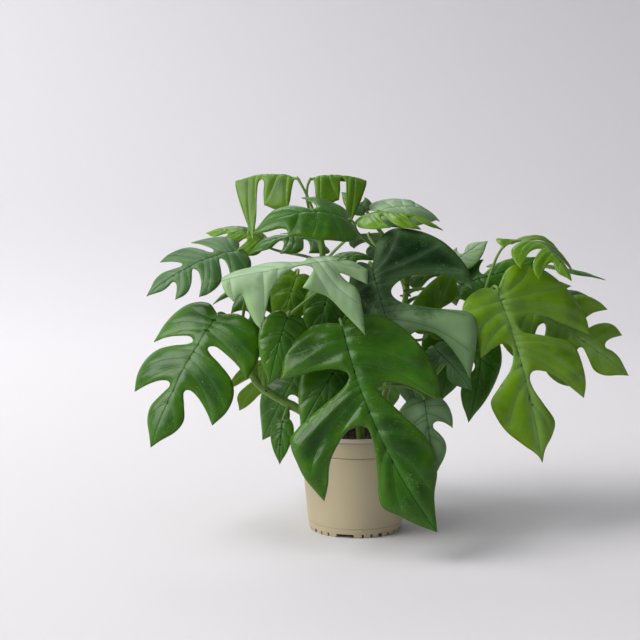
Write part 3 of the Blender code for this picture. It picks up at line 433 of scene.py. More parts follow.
class Socket:
    """An output socket of a finish, so that shader maths reads as an expression."""

    def __init__(self, finish, link):
        self.finish = finish
        self.link = link

    def maths(self, operation, *values):
        return self.finish.node("ShaderNodeMath", {"operation": operation}, dict(enumerate(values)))

    def __abs__(self):
        return self.maths("ABSOLUTE", self)

    def __add__(self, other):
        return self.maths("ADD", self, other)

    def __radd__(self, other):
        return self.maths("ADD", other, self)

    def __sub__(self, other):
        return self.maths("SUBTRACT", self, other)

    def __rsub__(self, other):
        return self.maths("SUBTRACT", other, self)

    def __mul__(self, other):
        return self.maths("MULTIPLY", self, other)

    def __rmul__(self, other):
        return self.maths("MULTIPLY", other, self)


class Finish:
    """A node material, with one method that adds any node."""

    def __init__(self, name):
        self.material = bpy.data.materials.new(name)
        self.material.use_nodes = True
        self.tree = self.material.node_tree
        self.tree.nodes.clear()
        self.place = self.node("ShaderNodeTexCoord", out=3)

    def node(self, kind, settings=None, inputs=None, out=0):
        made = self.tree.nodes.new(kind)
        for name, value in (settings or {}).items():
            setattr(made, name, value)
        for name, value in (inputs or {}).items():
            if isinstance(value, Socket):
                self.tree.links.new(value.link, made.inputs[name])
            else:
                made.inputs[name].default_value = value
        return Socket(self, made.outputs[out]) if made.outputs else None

    def values(self, name):
        """The three numbers that a mesh keeps at each point under a name."""
        stored = self.node("ShaderNodeAttribute", {"attribute_name": name}, out=1)
        return [self.node("ShaderNodeSeparateXYZ", None, {0: stored}, axis) for axis in range(3)]

    def between(self, value, low, high, start=0.0, end=1.0):
        """start where the value is below low, end above high and smooth in between."""
        return self.node("ShaderNodeMapRange", {"interpolation_type": "SMOOTHSTEP"},
                         {0: value, 1: low, 2: high, 3: start, 4: end})

    def near(self, value, full, none):
        """1 where the value is below full, 0 above none and smooth in between."""
        return self.between(value, full, none, 1.0, 0.0)

    def mix(self, share, first, second):
        """A colour between two others."""
        first, second = (c if isinstance(c, Socket) else (*c, 1.0) for c in (first, second))
        return self.node("ShaderNodeMix", {"data_type": "RGBA"}, {0: share, 6: first, 7: second}, 2)

    def layers(self, colour, *coats):
        """A colour with others laid over it in turn, each by its share."""
        for share, coat in coats:
            colour = self.mix(share, colour, coat)
        return colour

    def noise(self, scale, detail=3.0, roughness=0.5):
        return self.node("ShaderNodeTexNoise", None, {"Vector": self.place, "Scale": scale,
                                                      "Detail": detail, "Roughness": roughness})

    def surface(self, bump=None, depth=0.5 * MM, **inputs):
        """The Principled shader; a bump's height is in units of depth."""
        if bump is not None:
            inputs["Normal"] = self.node("ShaderNodeBump", None,
                                         {"Strength": 1.0, "Distance": depth, "Height": bump})
        named = {name.replace("_", " "): value for name, value in inputs.items()}
        return self.node("ShaderNodeBsdfPrincipled", None, named)

    def translucent(self, share, surface, colour):
        """A surface that a share of the light shines through."""
        glow = self.node("ShaderNodeBsdfTranslucent", None, {"Color": colour})
        return self.node("ShaderNodeMixShader", None, {0: share, 1: surface, 2: glow})

    def done(self, shader):
        self.node("ShaderNodeOutputMaterial", None, {"Surface": shader})
        return self.material


# In the leaf finishes, margin, lateral and midrib are distances to these lines in metres, and along
# and beside are the place on the leaf
def upper_finish(tint):
    greens = LEAF_GREENS[tint]
    finish = Finish(f"leaf_{tint}_upper")
    margin, lateral, midrib_line = finish.values("leaf_lines")
    along, beside, tone = finish.values("leaf_place")
    clouds = finish.noise(26.0, 4.0, 0.55)
    mottle = finish.noise(95.0, 3.0, 0.6)
    grain = finish.noise(420.0, 3.0, 0.6)
    flecks = finish.noise(640.0, 1.0, 0.5)
    curls = finish.noise(150.0, 2.0, 0.6)
    wear = finish.noise(40.0, 2.0, 0.5)
    spine = finish.near(midrib_line, 0.20 * MM, 0.9 * MM)
    # Pale zones along the midrib and the veins: partly their paler colour, partly a painted sheen.
    midrib_zone_and_painted_sheen = finish.near(midrib_line, 1.0 * MM, greens["zone"])
    vein = finish.near(lateral, 0.10 * MM, 0.7 * MM)
    vein_zone_and_painted_sheen = finish.near(lateral, 0.6 * MM, greens["zone"] * 0.6)
    rim = finish.near(margin, 0.15 * MM, 0.7 * MM)
    rim_zone = finish.near(margin, 1.0 * MM, 14.0 * MM)
    slant = finish.node("ShaderNodeCombineXYZ", None, {0: along - 0.55 * beside, 1: beside * 0.2})
    streaks = finish.node("ShaderNodeTexWave", {"wave_type": "BANDS", "bands_direction": "X"},
                          {"Vector": slant, "Scale": 130.0, "Distortion": 2.5, "Detail": 2.0}, 1)
    # The tone lays on darker patches; on leaf_broad and the arch leaves it is a painted shade.
    patches_and_painted_shade = finish.between(clouds + tone + (mottle - 0.5) * 0.35, 0.36, 0.72)
    speck = finish.between(flecks, 0.66, 0.74) * finish.between(mottle, 0.52, 0.62)
    scratch = finish.near(abs(curls - 0.5), 0.003, 0.011) * finish.between(wear, 0.56, 0.62)
    nick = finish.near(margin, 0.6 * MM, 2.6 * MM) * finish.between(mottle, 0.66, 0.72)
    colour = finish.layers(greens["face"], (patches_and_painted_shade, greens["dark"]), (rim_zone * 0.5, greens["margin"]),
                           (midrib_zone_and_painted_sheen * 0.45 + vein_zone_and_painted_sheen * 0.25, greens["pale"]),
                           # The lines along the midrib and veins: partly the veins' own colour, partly a
                           # painted crease shade where drawn dark.
                           (spine * 0.6, greens["line"]), (vein * 0.4, greens["line"]),
                           (streaks * finish.between(mottle, 0.4, 0.6) * 0.12, greens["pale"]),
                           (speck * 0.45, (0.30, 0.42, 0.16)), (scratch * 0.35, (0.28, 0.40, 0.20)),
                           (nick * 0.85, (0.20, 0.085, 0.02)), (rim * 0.25, (0.22, 0.30, 0.05)))
    height = grain * 0.12 + streaks * 0.08 - spine * 0.7 - vein * 0.3 + clouds * 0.5 + mottle * 0.35
    gloss = finish.surface(bump=height, Base_Color=colour, Specular_IOR_Level=greens["shine"],
                           Roughness=greens["rough"] + clouds * 0.12 + speck * 0.15)
    return finish.done(finish.translucent(0.18, gloss, colour))


def under_finish(tint):
    greens = LEAF_GREENS[tint]
    finish = Finish(f"leaf_{tint}_under")
    lateral, midrib_line = finish.values("leaf_lines")[1:]
    tone = finish.values("leaf_place")[2]
    clouds = finish.noise(35.0, 4.0, 0.55)
    grain = finish.noise(500.0, 3.0, 0.6)
    spine = finish.near(midrib_line, 0.8 * MM, 1.8 * MM)
    vein = finish.near(lateral, 0.3 * MM, 1.0 * MM)
    # The tone, a painted shade on some leaves, turns the underside towards the upper green.
    colour = finish.layers(greens["under"], (finish.between(clouds + tone, 0.3, 0.8), greens["face"]),
                           (spine * 0.6 + vein * 0.4, (0.24, 0.42, 0.08)))
    dull = finish.surface(bump=grain * 0.2 + vein * 0.9 + clouds * 0.4, Base_Color=colour,
                          Roughness=0.5 + grain * 0.12, Specular_IOR_Level=0.3)
    return finish.done(finish.translucent(0.22, dull, colour))


def rim_finish(tint):
    finish = Finish(f"leaf_{tint}_edge")
    wear = finish.noise(60.0)
    colour = finish.layers(LEAF_GREENS[tint]["margin"],
                           (finish.between(wear, 0.35, 0.65), (0.20, 0.30, 0.05)),
                           (finish.between(wear, 0.68, 0.74), (0.20, 0.09, 0.03)))
    return finish.done(finish.surface(Base_Color=colour, Roughness=0.45))


def stem_finish(name, dark, pale):
    finish = Finish(name)
    clouds = finish.noise(45.0, 4.0, 0.6)
    grain = finish.noise(600.0, 2.0, 0.6)
    scars = finish.between(finish.noise(160.0, 5.0, 0.7), 0.62, 0.70)
    colour = finish.layers(dark, (finish.between(clouds, 0.3, 0.7), pale), (scars * 0.4, (0.22, 0.15, 0.06)))
    return finish.done(finish.surface(bump=grain * 0.3 + clouds * 0.5 - scars * 0.3, depth=0.4 * MM,
                                      Base_Color=colour, Roughness=0.38 + clouds * 0.15,
                                      Subsurface_Weight=0.08, Subsurface_Radius=(0.002, 0.004, 0.001)))


def aerial_root_finish():
    finish = Finish("aerial_root")
    bands = finish.noise(500.0, 4.0, 0.65)
    colour = finish.mix(finish.between(bands, 0.35, 0.65), (0.20, 0.10, 0.035), (0.08, 0.04, 0.02))
    return finish.done(finish.surface(bump=bands, Base_Color=colour, Roughness=0.75))


def soil_finish():
    finish = Finish("potting_soil_crumbs")
    clods = finish.noise(260.0, 8.0, 0.7)
    dust = finish.noise(1500.0, 3.0, 0.6)
    colour = finish.layers((0.012, 0.007, 0.005), (finish.between(clods, 0.35, 0.65), (0.055, 0.030, 0.020)),
                           (finish.between(dust, 0.66, 0.74), (0.16, 0.10, 0.06)))
    return finish.done(finish.surface(bump=clods + dust * 0.4, depth=1.2 * MM, Base_Color=colour,
                                      Roughness=0.92))


def pot_finish():
    """Beige plastic, rubbed pale at the foot, with painted shade lines at its steps and a painted highlight on
    the lip.
    """
    finish = Finish("nursery_pot_plastic")
    height = finish.node("ShaderNodeSeparateXYZ", None, {0: finish.place}, 2)
    clouds = finish.noise(14.0)
    grain = finish.noise(900.0, 3.0, 0.6)
    rub = finish.near(height, 0.0, 14.0 * MM) * finish.between(finish.noise(120.0, 5.0, 0.7), 0.45, 0.75)
    colour = finish.layers((0.455, 0.390, 0.250), (clouds, (0.500, 0.432, 0.285)),
                           (rub * 0.4, (0.56, 0.51, 0.38)))
    # Painted shade: dark lines under the lip's overhang, in the groove below the band and at the foot line.
    for line, half, depth in ((BAND_BOTTOM, 0.35 * MM, 0.75), (LIP_BOTTOM, 0.45 * MM, 0.6),
                              (FOOT_LINE, 0.28 * MM, 0.35)):
        shade = finish.near(abs(height - line), half * 0.6, half * 1.6)
        colour = finish.mix(shade * depth, colour, (0.10, 0.08, 0.05))
    # Painted highlight: the lip is painted paler, where its top edge catches the light.
    lip = finish.between(height, LIP_BOTTOM, LIP_BOTTOM + 0.8 * MM)
    colour = finish.mix(lip * 0.5, colour, (0.60, 0.565, 0.51))
    return finish.done(finish.surface(bump=grain * 0.25 + clouds * 0.2, depth=0.3 * MM,
                                      Base_Color=colour, Roughness=0.42 + grain * 0.12,
                                      Specular_IOR_Level=0.4))


def floor_finish():
    finish = Finish("studio_floor")
    return finish.done(finish.surface(Base_Color=(0.66, 0.65, 0.67, 1.0), Roughness=0.8,
                                      Specular_IOR_Level=0.2))


def add_object(name, data):
    made = bpy.data.objects.new(name, data)
    bpy.context.scene.collection.objects.link(made)
    return made


def add_piece(name, mesh, node):
    piece = add_object(name, mesh)
    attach(piece, "root")
    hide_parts(node)


def new_mesh(name, points, faces, finishes=(), kinds=None):
    """A smooth mesh; kinds gives the number of each face's finish."""
    mesh = bpy.data.meshes.new(name)
    mesh.from_pydata(points, [], faces)
    for finish in finishes:
        mesh.materials.append(finish)
    if kinds:
        mesh.polygons.foreach_set("material_index", kinds)
    mesh.shade_smooth()
    return mesh


def turn_outwards(mesh):
    shape = bmesh.new()
    shape.from_mesh(mesh)
    bmesh.ops.recalc_face_normals(shape, faces=shape.faces)
    shape.to_mesh(mesh)
    shape.free()


def ring_faces(first, rings, sides):
    """The faces between rings of points that follow each other from a first point."""
    return [(start + k, start + (k + 1) % sides, start + (k + 1) % sides + sides, start + k + sides)
            for start in range(first, first + (rings - 1) * sides, sides) for k in range(sides)]


def as_array(points):
    return np.array([tuple(point) for point in points], float)


def catmull(four, t):
    """A place on the round curve from the second of four points (t = 0) to the third (t = 1)."""
    a, b, c, d = four
    return 0.5 * ((b * 2) + (c - a) * t + (a * 2 - b * 5 + c * 4 - d) * t * t
                  + (b * 3 - a - c * 3 + d) * t ** 3)


def round_through(points, step):
    """A closed outline through given points, rounded at plain ones and pointed at sharp ones."""
    places = [Vector(point[:2]) for point in points]
    sharp = [len(point) > 2 for point in points]
    count = len(points)
    outline = []
    for i in range(count):
        a, b, c, d = (places[(i + k) % count] for k in (-1, 0, 1, 2))
        if sharp[i]:
            a = b * 2 - c
        if sharp[(i + 1) % count]:
            d = c * 2 - b
        pieces = max(1, round((c - b).length / step))
        outline += [catmull((a, b, c, d), k / pieces) for k in range(pieces)]
    return outline


def leaf_outline(leaf):
    near = [(p[0], p[1] * leaf["width"], *p[2:]) for p in leaf["near"]]
    far = [(p[0], -p[1] * leaf["width_far"], *p[2:]) for p in reversed(leaf["far"])]
    corners = [(0.0, 0.0, SHARP)] + near + [(1.0, 0.0, SHARP)] + far
    return as_array(round_through(corners, OUTLINE_STEP * leaf["detail"]))


def midrib(leaf, u):
    """How far the midrib lies beside the straight line from base to tip."""
    return leaf["sway"] * 4 * u * (1 - u)


def vein_line(leaf, start, end):
    """From the midrib out and then forward to a lobe's tip or a place near the margin."""
    root = Vector((start, midrib(leaf, start)))
    over = Vector(end)
    turn = Vector((start + VEIN_TURN[0] * (over.x - start), root.y + VEIN_TURN[1] * (over.y - root.y)))
    shares = [k / VEIN_PIECES for k in range(VEIN_PIECES + 1)]
    return as_array([root * (1 - t) ** 2 + turn * (2 * t * (1 - t)) + over * t * t for t in shares])


def side_veins(leaf, points, scale):
    """The lateral veins of one side of a leaf: a main one to each lobe, and weaker ones beside it."""
    tips = [i for i, point in enumerate(points) if len(point) > 2]
    main, minor = [], []
    start, low = 0, 0.0
    for tip in tips:
        after = [i for i in range(tip + 1, len(points)) if i + 1 >= len(points)
                 or (points[i][1] <= points[i - 1][1] and points[i][1] <= points[i + 1][1])]
        sinus = after[0] if after else len(points) - 1
        high = max(points[sinus][0], low + 0.05)
        main.append((low + 0.55 * (high - low), points[tip], MAIN_REACH))
        shoulder = points[start + 1:tip:2] if high - low > 0.1 else []
        minor += [(low + (0.02 + 0.5 * k / len(shoulder)) * (high - low), point, SHOULDER_REACH)
                  for k, point in enumerate(shoulder)]
        start, low = sinus, high
    rest = [point for point in points[start:] if point[0] > low + 0.08]
    minor += [(low + 0.5 * (point[0] - low) - 0.02, point, END_REACH) for point in rest[::2]]
    if not tips:
        minor += [(max(0.0, 0.8 * point[0] - 0.08), point, WHOLE_REACH) for point in points[1::2]]
    return [[vein_line(leaf, max(0.01, root), (end[0] * share + root * (1 - share), end[1] * share * scale))
             for root, end, share in kind] for kind in (main, minor)]


def is_inside(outline, places):
    """True for each place that lies inside a closed outline."""
    ahead = np.roll(outline, -1, axis=0)
    x, y = places[:, :1], places[:, 1:]
    passes = (outline[:, 1] > y) != (ahead[:, 1] > y)
    rise = np.where(ahead[:, 1] == outline[:, 1], 1e-12, ahead[:, 1] - outline[:, 1])
    reach = outline[:, 0] + (y - outline[:, 1]) / rise * (ahead[:, 0] - outline[:, 0])
    return np.sum(passes & (x < reach), axis=1) % 2 == 1


def distance_to(starts, ends, places):
    """Each place's distance to the nearest of some straight pieces."""
    side = ends - starts
    gap = places[:, None, :] - starts[None, :, :]
    share = np.sum(gap * side, axis=2) / np.maximum(np.sum(side * side, axis=1), 1e-12)
    foot = gap - np.clip(share, 0.0, 1.0)[:, :, None] * side
    return np.sqrt(np.min(np.sum(foot * foot, axis=2), axis=1))


def distance_to_lines(lines, places):
    """Each place's distance to the nearest of some lines; far away if there are none."""
    if not lines:
        return np.full(len(places), 9.0)
    return distance_to(np.concatenate([line[:-1] for line in lines]),
                       np.concatenate([line[1:] for line in lines]), places)


def distance_to_margin(leaf, places):
    return distance_to(leaf["outline"], np.roll(leaf["outline"], -1, axis=0), places)


def net_of_places(step):
    """Places in even triangles over the whole of a leaf and beyond it."""
    rows = int(NET_BESIDE / (step * ROW_SHARE)) + 1
    return np.array([((column + 0.5 * (row % 2)) * step, row * step * ROW_SHARE)
                     for row in range(-rows, rows + 1)
                     for column in range(-int(NET_BEHIND / step), int(NET_AHEAD / step) + 1)])


def fill_leaf(leaf):
    """Points and triangles of the flat leaf, with edges along its midrib and veins."""
    step = GRID_STEP * leaf["detail"]
    outline = leaf["outline"]
    rib_count = int(1 / (VEIN_STEP * leaf["detail"]))
    along = np.arange(1, rib_count) / rib_count
    beside = RIB_HALF_WIDTH / leaf["length"]
    ribs = [np.stack([along, midrib(leaf, along) + side], axis=1) for side in (0.0, beside, -beside)]
    lines = leaf["main"] + leaf["minor"] + ribs
    points = list(outline)
    edges = []
    for line in lines:
        good = is_inside(outline, line) & (distance_to_margin(leaf, line) > step * 0.25)
        first = len(points)
        points += list(line[good])
        order = np.flatnonzero(good)
        edges += [(first + k, first + k + 1) for k in range(len(order) - 1)
                  if order[k + 1] == order[k] + 1]
    net = net_of_places(step)
    net = net[is_inside(outline, net)]
    net = net[distance_to_margin(leaf, net) > step * 0.55]
    points += list(net[distance_to_lines(lines, net) > step * 0.4])
    border = list(range(len(outline)))
    found = delaunay_2d_cdt([Vector(point) for point in points], edges, [border], 1, 1e-7)
    faces = [tuple(face) for face in found[2]]
    used = sorted({i for face in faces for i in face})
    renumber = {old: new for new, old in enumerate(used)}
    return as_array(found[0])[used], [tuple(renumber[i] for i in face) for face in faces]


def leaf_axes(leaf):
    """Directions along the leaf, across it to the near side, and up from its face."""
    along = (leaf["tip"] - leaf["base"]) / leaf["length"]
    up = (leaf["face"] - along * leaf["face"].dot(along)).normalized()
    return along, up.cross(along), up


def soft_step(values, width):
    share = np.clip(values / width, 0.0, 1.0)
    return share * share * (3 - 2 * share)


def bend(leaf, places):
    """The bent leaf's points: a crease along each vein, round pleats between and margins curled down."""
    u, v = places[:, 0], places[:, 1]
    beside = v - midrib(leaf, u)
    out = np.abs(beside)
    fold = np.where(beside > 0, leaf["fold"], leaf["fold_far"])
    lift = leaf["bow"] * 4 * u * (1 - u) - fold * out - leaf["droop"] * out * out
    lift -= leaf["twist"] * (u - TWIST_LEVEL) * out
    to_margin = distance_to_margin(leaf, places)
    crease = np.minimum(distance_to_lines(leaf["main"], places), out)
    fine_crease = distance_to_lines(leaf["minor"], places)
    inner = soft_step(to_margin, PLEAT_FADE)
    pleats, quilt, quilt_length = leaf["relief"]
    lift += inner * pleats * PLEAT * (PLEAT_LEVEL - np.exp(-crease / PLEAT_WIDTH))
    lift += inner * pleats * MINOR_PLEAT * (PLEAT_LEVEL - np.exp(-fine_crease / MINOR_PLEAT_WIDTH))
    lift -= CURL * (1 - np.minimum(1.0, to_margin / CURL_WIDTH)) ** 2
    quilting = np.sin(2 * math.pi * (u - QUILT_SLANT * out) / quilt_length)
    lift += quilt * inner * np.minimum(1.0, out * QUILT_RISE) * quilting
    for (du, dv, phase), size in leaf["waves"]:
        lift += size * np.sin(du * u + dv * v + phase) * np.minimum(1.0, out * WAVE_RISE)
    axes = np.array(leaf_axes(leaf)) * leaf["length"]
    return np.array(leaf["base"]) + np.stack([u, v, lift], axis=1) @ axes


def wave(draw, most):
    """A wave's turns along two directions, each up to most, and where it starts."""
    return draw.uniform(-1, 1) * most, draw.uniform(-1, 1) * most, draw.uniform(0, 6.3)


def prepare_leaf(leaf, seed):
    """Add a leaf's length, outline, veins, soft waves and what its form leaves to chance."""
    draw = random.Random(seed)
    leaf["length"] = (leaf["tip"] - leaf["base"]).length
    leaf["outline"] = leaf_outline(leaf)
    leaf["waves"] = [(wave(draw, k * WAVE_TURN), WAVE / k) for k in (1, 2, 3)]
    usual = dict(tone=(draw.uniform(*USUAL_TONE), 0.0),
                 relief=[draw.uniform(*ends) for ends in USUAL_RELIEF],
                 sway=draw.uniform(*USUAL_SWAY), look=leaf["tint"])
    for name, value in usual.items():
        leaf.setdefault(name, value)
    near = side_veins(leaf, leaf["near"], leaf["width"])
    far = side_veins(leaf, leaf["far"], -leaf["width_far"])
    leaf["main"], leaf["minor"] = near[0] + far[0], near[1] + far[1]


def surface_normals(points, faces):
    corners = points[np.array(faces)]
    tilt = np.cross(corners[:, 1] - corners[:, 0], corners[:, 2] - corners[:, 0])
    total = np.zeros_like(points)
    for k in range(3):
        np.add.at(total, np.array(faces)[:, k], tilt)
    return total / np.maximum(np.linalg.norm(total, axis=1), 1e-12)[:, None]


def edge_loop(faces):
    """The directed edges that only one triangle has."""
    sides = {(face[k], face[(k + 1) % 3]) for face in faces for k in range(3)}
    return [side for side in sides if (side[1], side[0]) not in sides]


def add_values(mesh, name, columns):
    """Keep three numbers for each point, the same on the upper side and on the underside."""
    rows = np.stack(columns, axis=1)
    stored = mesh.attributes.new(name, "FLOAT_VECTOR", "POINT")
    stored.data.foreach_set("vector", np.concatenate([rows, rows]).astype(np.float32).ravel())


def make_leaf(name, leaf, finishes):
    """A blade with an upper side, a ribbed underside and a rim between them."""
    places, faces = fill_leaf(leaf)
    u, v = places[:, 0], places[:, 1]
    length = leaf["length"]
    to_rib = np.abs(v - midrib(leaf, u)) * length
    to_vein = distance_to_lines(leaf["main"] + leaf["minor"], places) * length
    to_margin = distance_to_margin(leaf, places) * length
    middle = bend(leaf, places)
    normals = surface_normals(middle, faces)
    on_rib = (to_rib < RIB_HALF_WIDTH * 0.5) * (to_margin > MM)
    ridge = RIB_HEIGHT * np.clip(1.1 - u, 0.15, 1.0) * on_rib
    upper = middle + normals * (BLADE_THICKNESS / 2)
    under = middle - normals * (BLADE_THICKNESS / 2 + ridge)[:, None]
    count = len(places)
    rim = edge_loop(faces)
    solid = faces + [tuple(i + count for i in reversed(face)) for face in faces]
    solid += [(a, a + count, b + count, b) for a, b in rim]
    kinds = [0] * len(faces) + [1] * len(faces) + [2] * len(rim)
    mesh = new_mesh(name, np.concatenate([upper, under]), solid, finishes[leaf["look"]], kinds)
    tone, change = leaf["tone"]
    add_values(mesh, "leaf_lines", [to_margin, to_vein, to_rib])
    add_values(mesh, "leaf_place", [u * length, np.abs(v) * length, tone + change * u])
    add_piece(f"{name}_blade", mesh, name)


def stem_path(points, pieces):
    """Straight up through the soil to the second point, then smooth through the others."""
    foot, start = points[:2]
    ends = [points[2] - (start - foot) * 2] + points[1:] + [points[-1] * 2 - points[-2]]
    path = [foot.lerp(start, k / pieces) for k in range(pieces)]
    for i in range(len(points) - 2):
        path += [catmull(ends[i:i + 4], k / pieces) for k in range(pieces)]
    return path + [points[-1]]


def stem_nodes(points, shoots):
    """Where each petiole leaves the stem, and which way the stem grows there."""
    path = stem_path(points, SOLID_PIECES)
    path = [path[0]] + path[SOLID_PIECES:]
    nodes = []
    for leaf in shoots:
        place = leaf["node"] * (len(path) - 1)
        i = min(int(place), len(path) - 2)
        nodes.append((path[i].lerp(path[i + 1], place - i), (path[i + 1] - path[i]).normalized()))
    return nodes


def stem_tube(points, radius, nodes):
    """A stem's path and radii: swollen at its nodes and drawn out into a bud."""
    path = stem_path(points, STEM_PIECES)
    radii = []
    for k, place in enumerate(path):
        grown = max(0.0, (k - STEM_PIECES) / (len(path) - STEM_PIECES - 1))
        swell = sum(math.exp(-((place - start).length / NODE_REACH) ** 2) for start, growth in nodes)
        radii.append(radius * (1 - STEM_TAPER * grown) * (1 + NODE_SWELL * min(1.0, swell)))
    tip = path[-1]
    growth = (path[-1] - path[-2]).normalized()
    for k in range(1, BUD_PIECES + 1):
        path.append(tip + growth * BUD_STEP * k)
        radii.append(radii[-1] * (BUD_START - BUD_TAPER * k))
    return path, radii


def petiole_path(leaf, start, growth):
    """From inside the stem at the leaf's node, out and up, then in to the base from behind."""
    along, across, up = leaf_axes(leaf)
    forward, rise, sideways = leaf["arrive"]
    arriving = (along * forward + up * rise + across * sideways).normalized()
    end = leaf["base"] - arriving * leaf["clearance"]
    reach = (end - start).length
    leave = start + (growth * 0.6 + (end - start).normalized() * 0.4) * reach * 0.35
    enter = end - arriving * reach * 0.3
    shares = [k / PETIOLE_PIECES for k in range(PETIOLE_PIECES + 1)]
    return [start * (1 - t) ** 3 + leave * 3 * t * (1 - t) ** 2 + enter * 3 * t * t * (1 - t) + end * t ** 3
            for t in shares]


def petiole_tube(leaf, start, growth):
    """A petiole's path and radii: a sheath at the stem, a knee at the blade, then the rib below it."""
    path = petiole_path(leaf, start, growth)
    gone = [0.0]
    for a, b in zip(path, path[1:]):
        gone.append(gone[-1] + (b - a).length)
    radii = []
    for k, way in enumerate(gone):
        plain = PETIOLE_RADIUS + (PETIOLE_TIP_RADIUS - PETIOLE_RADIUS) * k / PETIOLE_PIECES
        sheath = SHEATH_SWELL * math.exp(-(way / SHEATH_REACH) ** 2)
        knee = KNEE_SWELL * math.exp(-((gone[-1] - way) / KNEE_REACH) ** 2)
        radii.append(plain * (1 + sheath + knee))
    up = leaf_axes(leaf)[2]
    shares = np.arange(1, RIB_PIECES + 1) / RIB_PIECES
    reach = RIB_REACH * shares
    for place, share in zip(bend(leaf, np.stack([reach, midrib(leaf, reach)], axis=1)), shares):
        radii.append(PETIOLE_TIP_RADIUS * (RIB_START - RIB_TAPER * share))
        path.append(Vector(place) - up * radii[-1] * RIB_SINK)
    return path, radii


def aerial_roots(draw, radius, start, growth):
    """Paths of up to two blunt roots just below a node."""
    for _ in range(draw.choice((0, 1, 1, 2))):
        away = Vector((draw.uniform(-1, 1), draw.uniform(-1, 1), draw.uniform(-0.7, 0.1)))
        away = (away - growth * away.dot(growth)).normalized()
        size = draw.uniform(0.2, 0.42) * CM
        root = start + away * radius * 0.75 - growth * draw.uniform(0.1, 0.35) * CM
        sag = Vector((0, 0, -0.2)) * size
        yield [root + away * size * t + sag * t * t for t in ROOT_SHAPE]


class Tubes:
    """Round sweeps gathered into one mesh."""

    def __init__(self):
        self.points = []
        self.faces = []
        self.kinds = []

    def sweep(self, path, radii, sides, kind, groove=0.0, top=Vector((0, 0, 1))):
        """A closed tube along a path, with a groove along the side that faces top."""
        first = len(self.points)
        way = [(b - a).normalized() for a, b in zip(path, path[1:])]
        tangents = [way[0]] + [(a + b).normalized() for a, b in zip(way, way[1:])] + [way[-1]]
        side = tangents[0].cross(top)
        if side.length < 0.01:
            side = tangents[0].orthogonal()
        for place, radius, tangent in zip(path, radii, tangents):
            side = (side - tangent * side.dot(tangent)).normalized()
            over = side.cross(tangent)
            for k in range(sides):
                turn = 2 * math.pi * k / sides
                from_top = abs((turn - math.pi / 2 + math.pi) % (2 * math.pi) - math.pi)
                dip = 1 - groove * math.exp(-(from_top / GROOVE_ANGLE) ** 2)
                self.points.append(place + (side * math.cos(turn) + over * math.sin(turn)) * radius * dip)
        last = len(self.points) - sides
        faces = ring_faces(first, len(path), sides)
        faces += [tuple(range(first + sides - 1, first - 1, -1)), tuple(range(last, last + sides))]
        self.faces += faces
        self.kinds += [kind] * len(faces)


def make_stem(name, finishes, seed):
    """A stem with its nodes, petioles and aerial roots."""
    draw = random.Random(seed)
    thickness, places = STEMS[name]
    radius = thickness * CM
    points = [Vector(place) * CM for place in places]
    shoots = [leaf for leaf in LEAVES.values() if leaf["stem"] == name]
    nodes = stem_nodes(points, shoots)
    tubes = Tubes()
    tubes.sweep(*stem_tube(points, radius, nodes), STEM_SIDES, STEM_SKIN)
    for leaf, (start, growth) in zip(shoots, nodes):
        tubes.sweep(*petiole_tube(leaf, start, growth), PETIOLE_SIDES, PETIOLE_SKIN, GROOVE,
                    leaf_axes(leaf)[2])
        for root in aerial_roots(draw, radius, start, growth):
            tubes.sweep(root, ROOT_SHAPE.values(), ROOT_SIDES, ROOT_SKIN)
    mesh = new_mesh(name, tubes.points, tubes.faces, finishes, tubes.kinds)
    turn_outwards(mesh)
    add_piece(f"{name}_with_petioles", mesh, name)


def wall_radius(height):
    """Outer radius of the pot's wall below the lip."""
    top = RIM_RADIUS - LIP_OVERHANG
    straight = FOOT_RADIUS + FOOT_TAPER
    radius = straight + (top - straight) * height / POT_HEIGHT
    if height < FOOT_TAPER_HEIGHT:
        radius -= FOOT_TAPER * (1 - height / FOOT_TAPER_HEIGHT) ** 1.5
    if height < BAND_BOTTOM:
        radius -= BAND_STEP
    return radius


def inner_radius(height):
    return wall_radius(height) - WALL


def arc(centre, radius, start, end, pieces):
    """Points round a corner, by angles in degrees."""
    angles = [math.radians(start + (end - start) * k / pieces) for k in range(pieces + 1)]
    return [(centre[0] + radius * math.cos(a), centre[1] + radius * math.sin(a)) for a in angles]


def wall_points(top, bottom, count):
    return [(wall_radius(height), height) for height in np.linspace(top, bottom, count)]


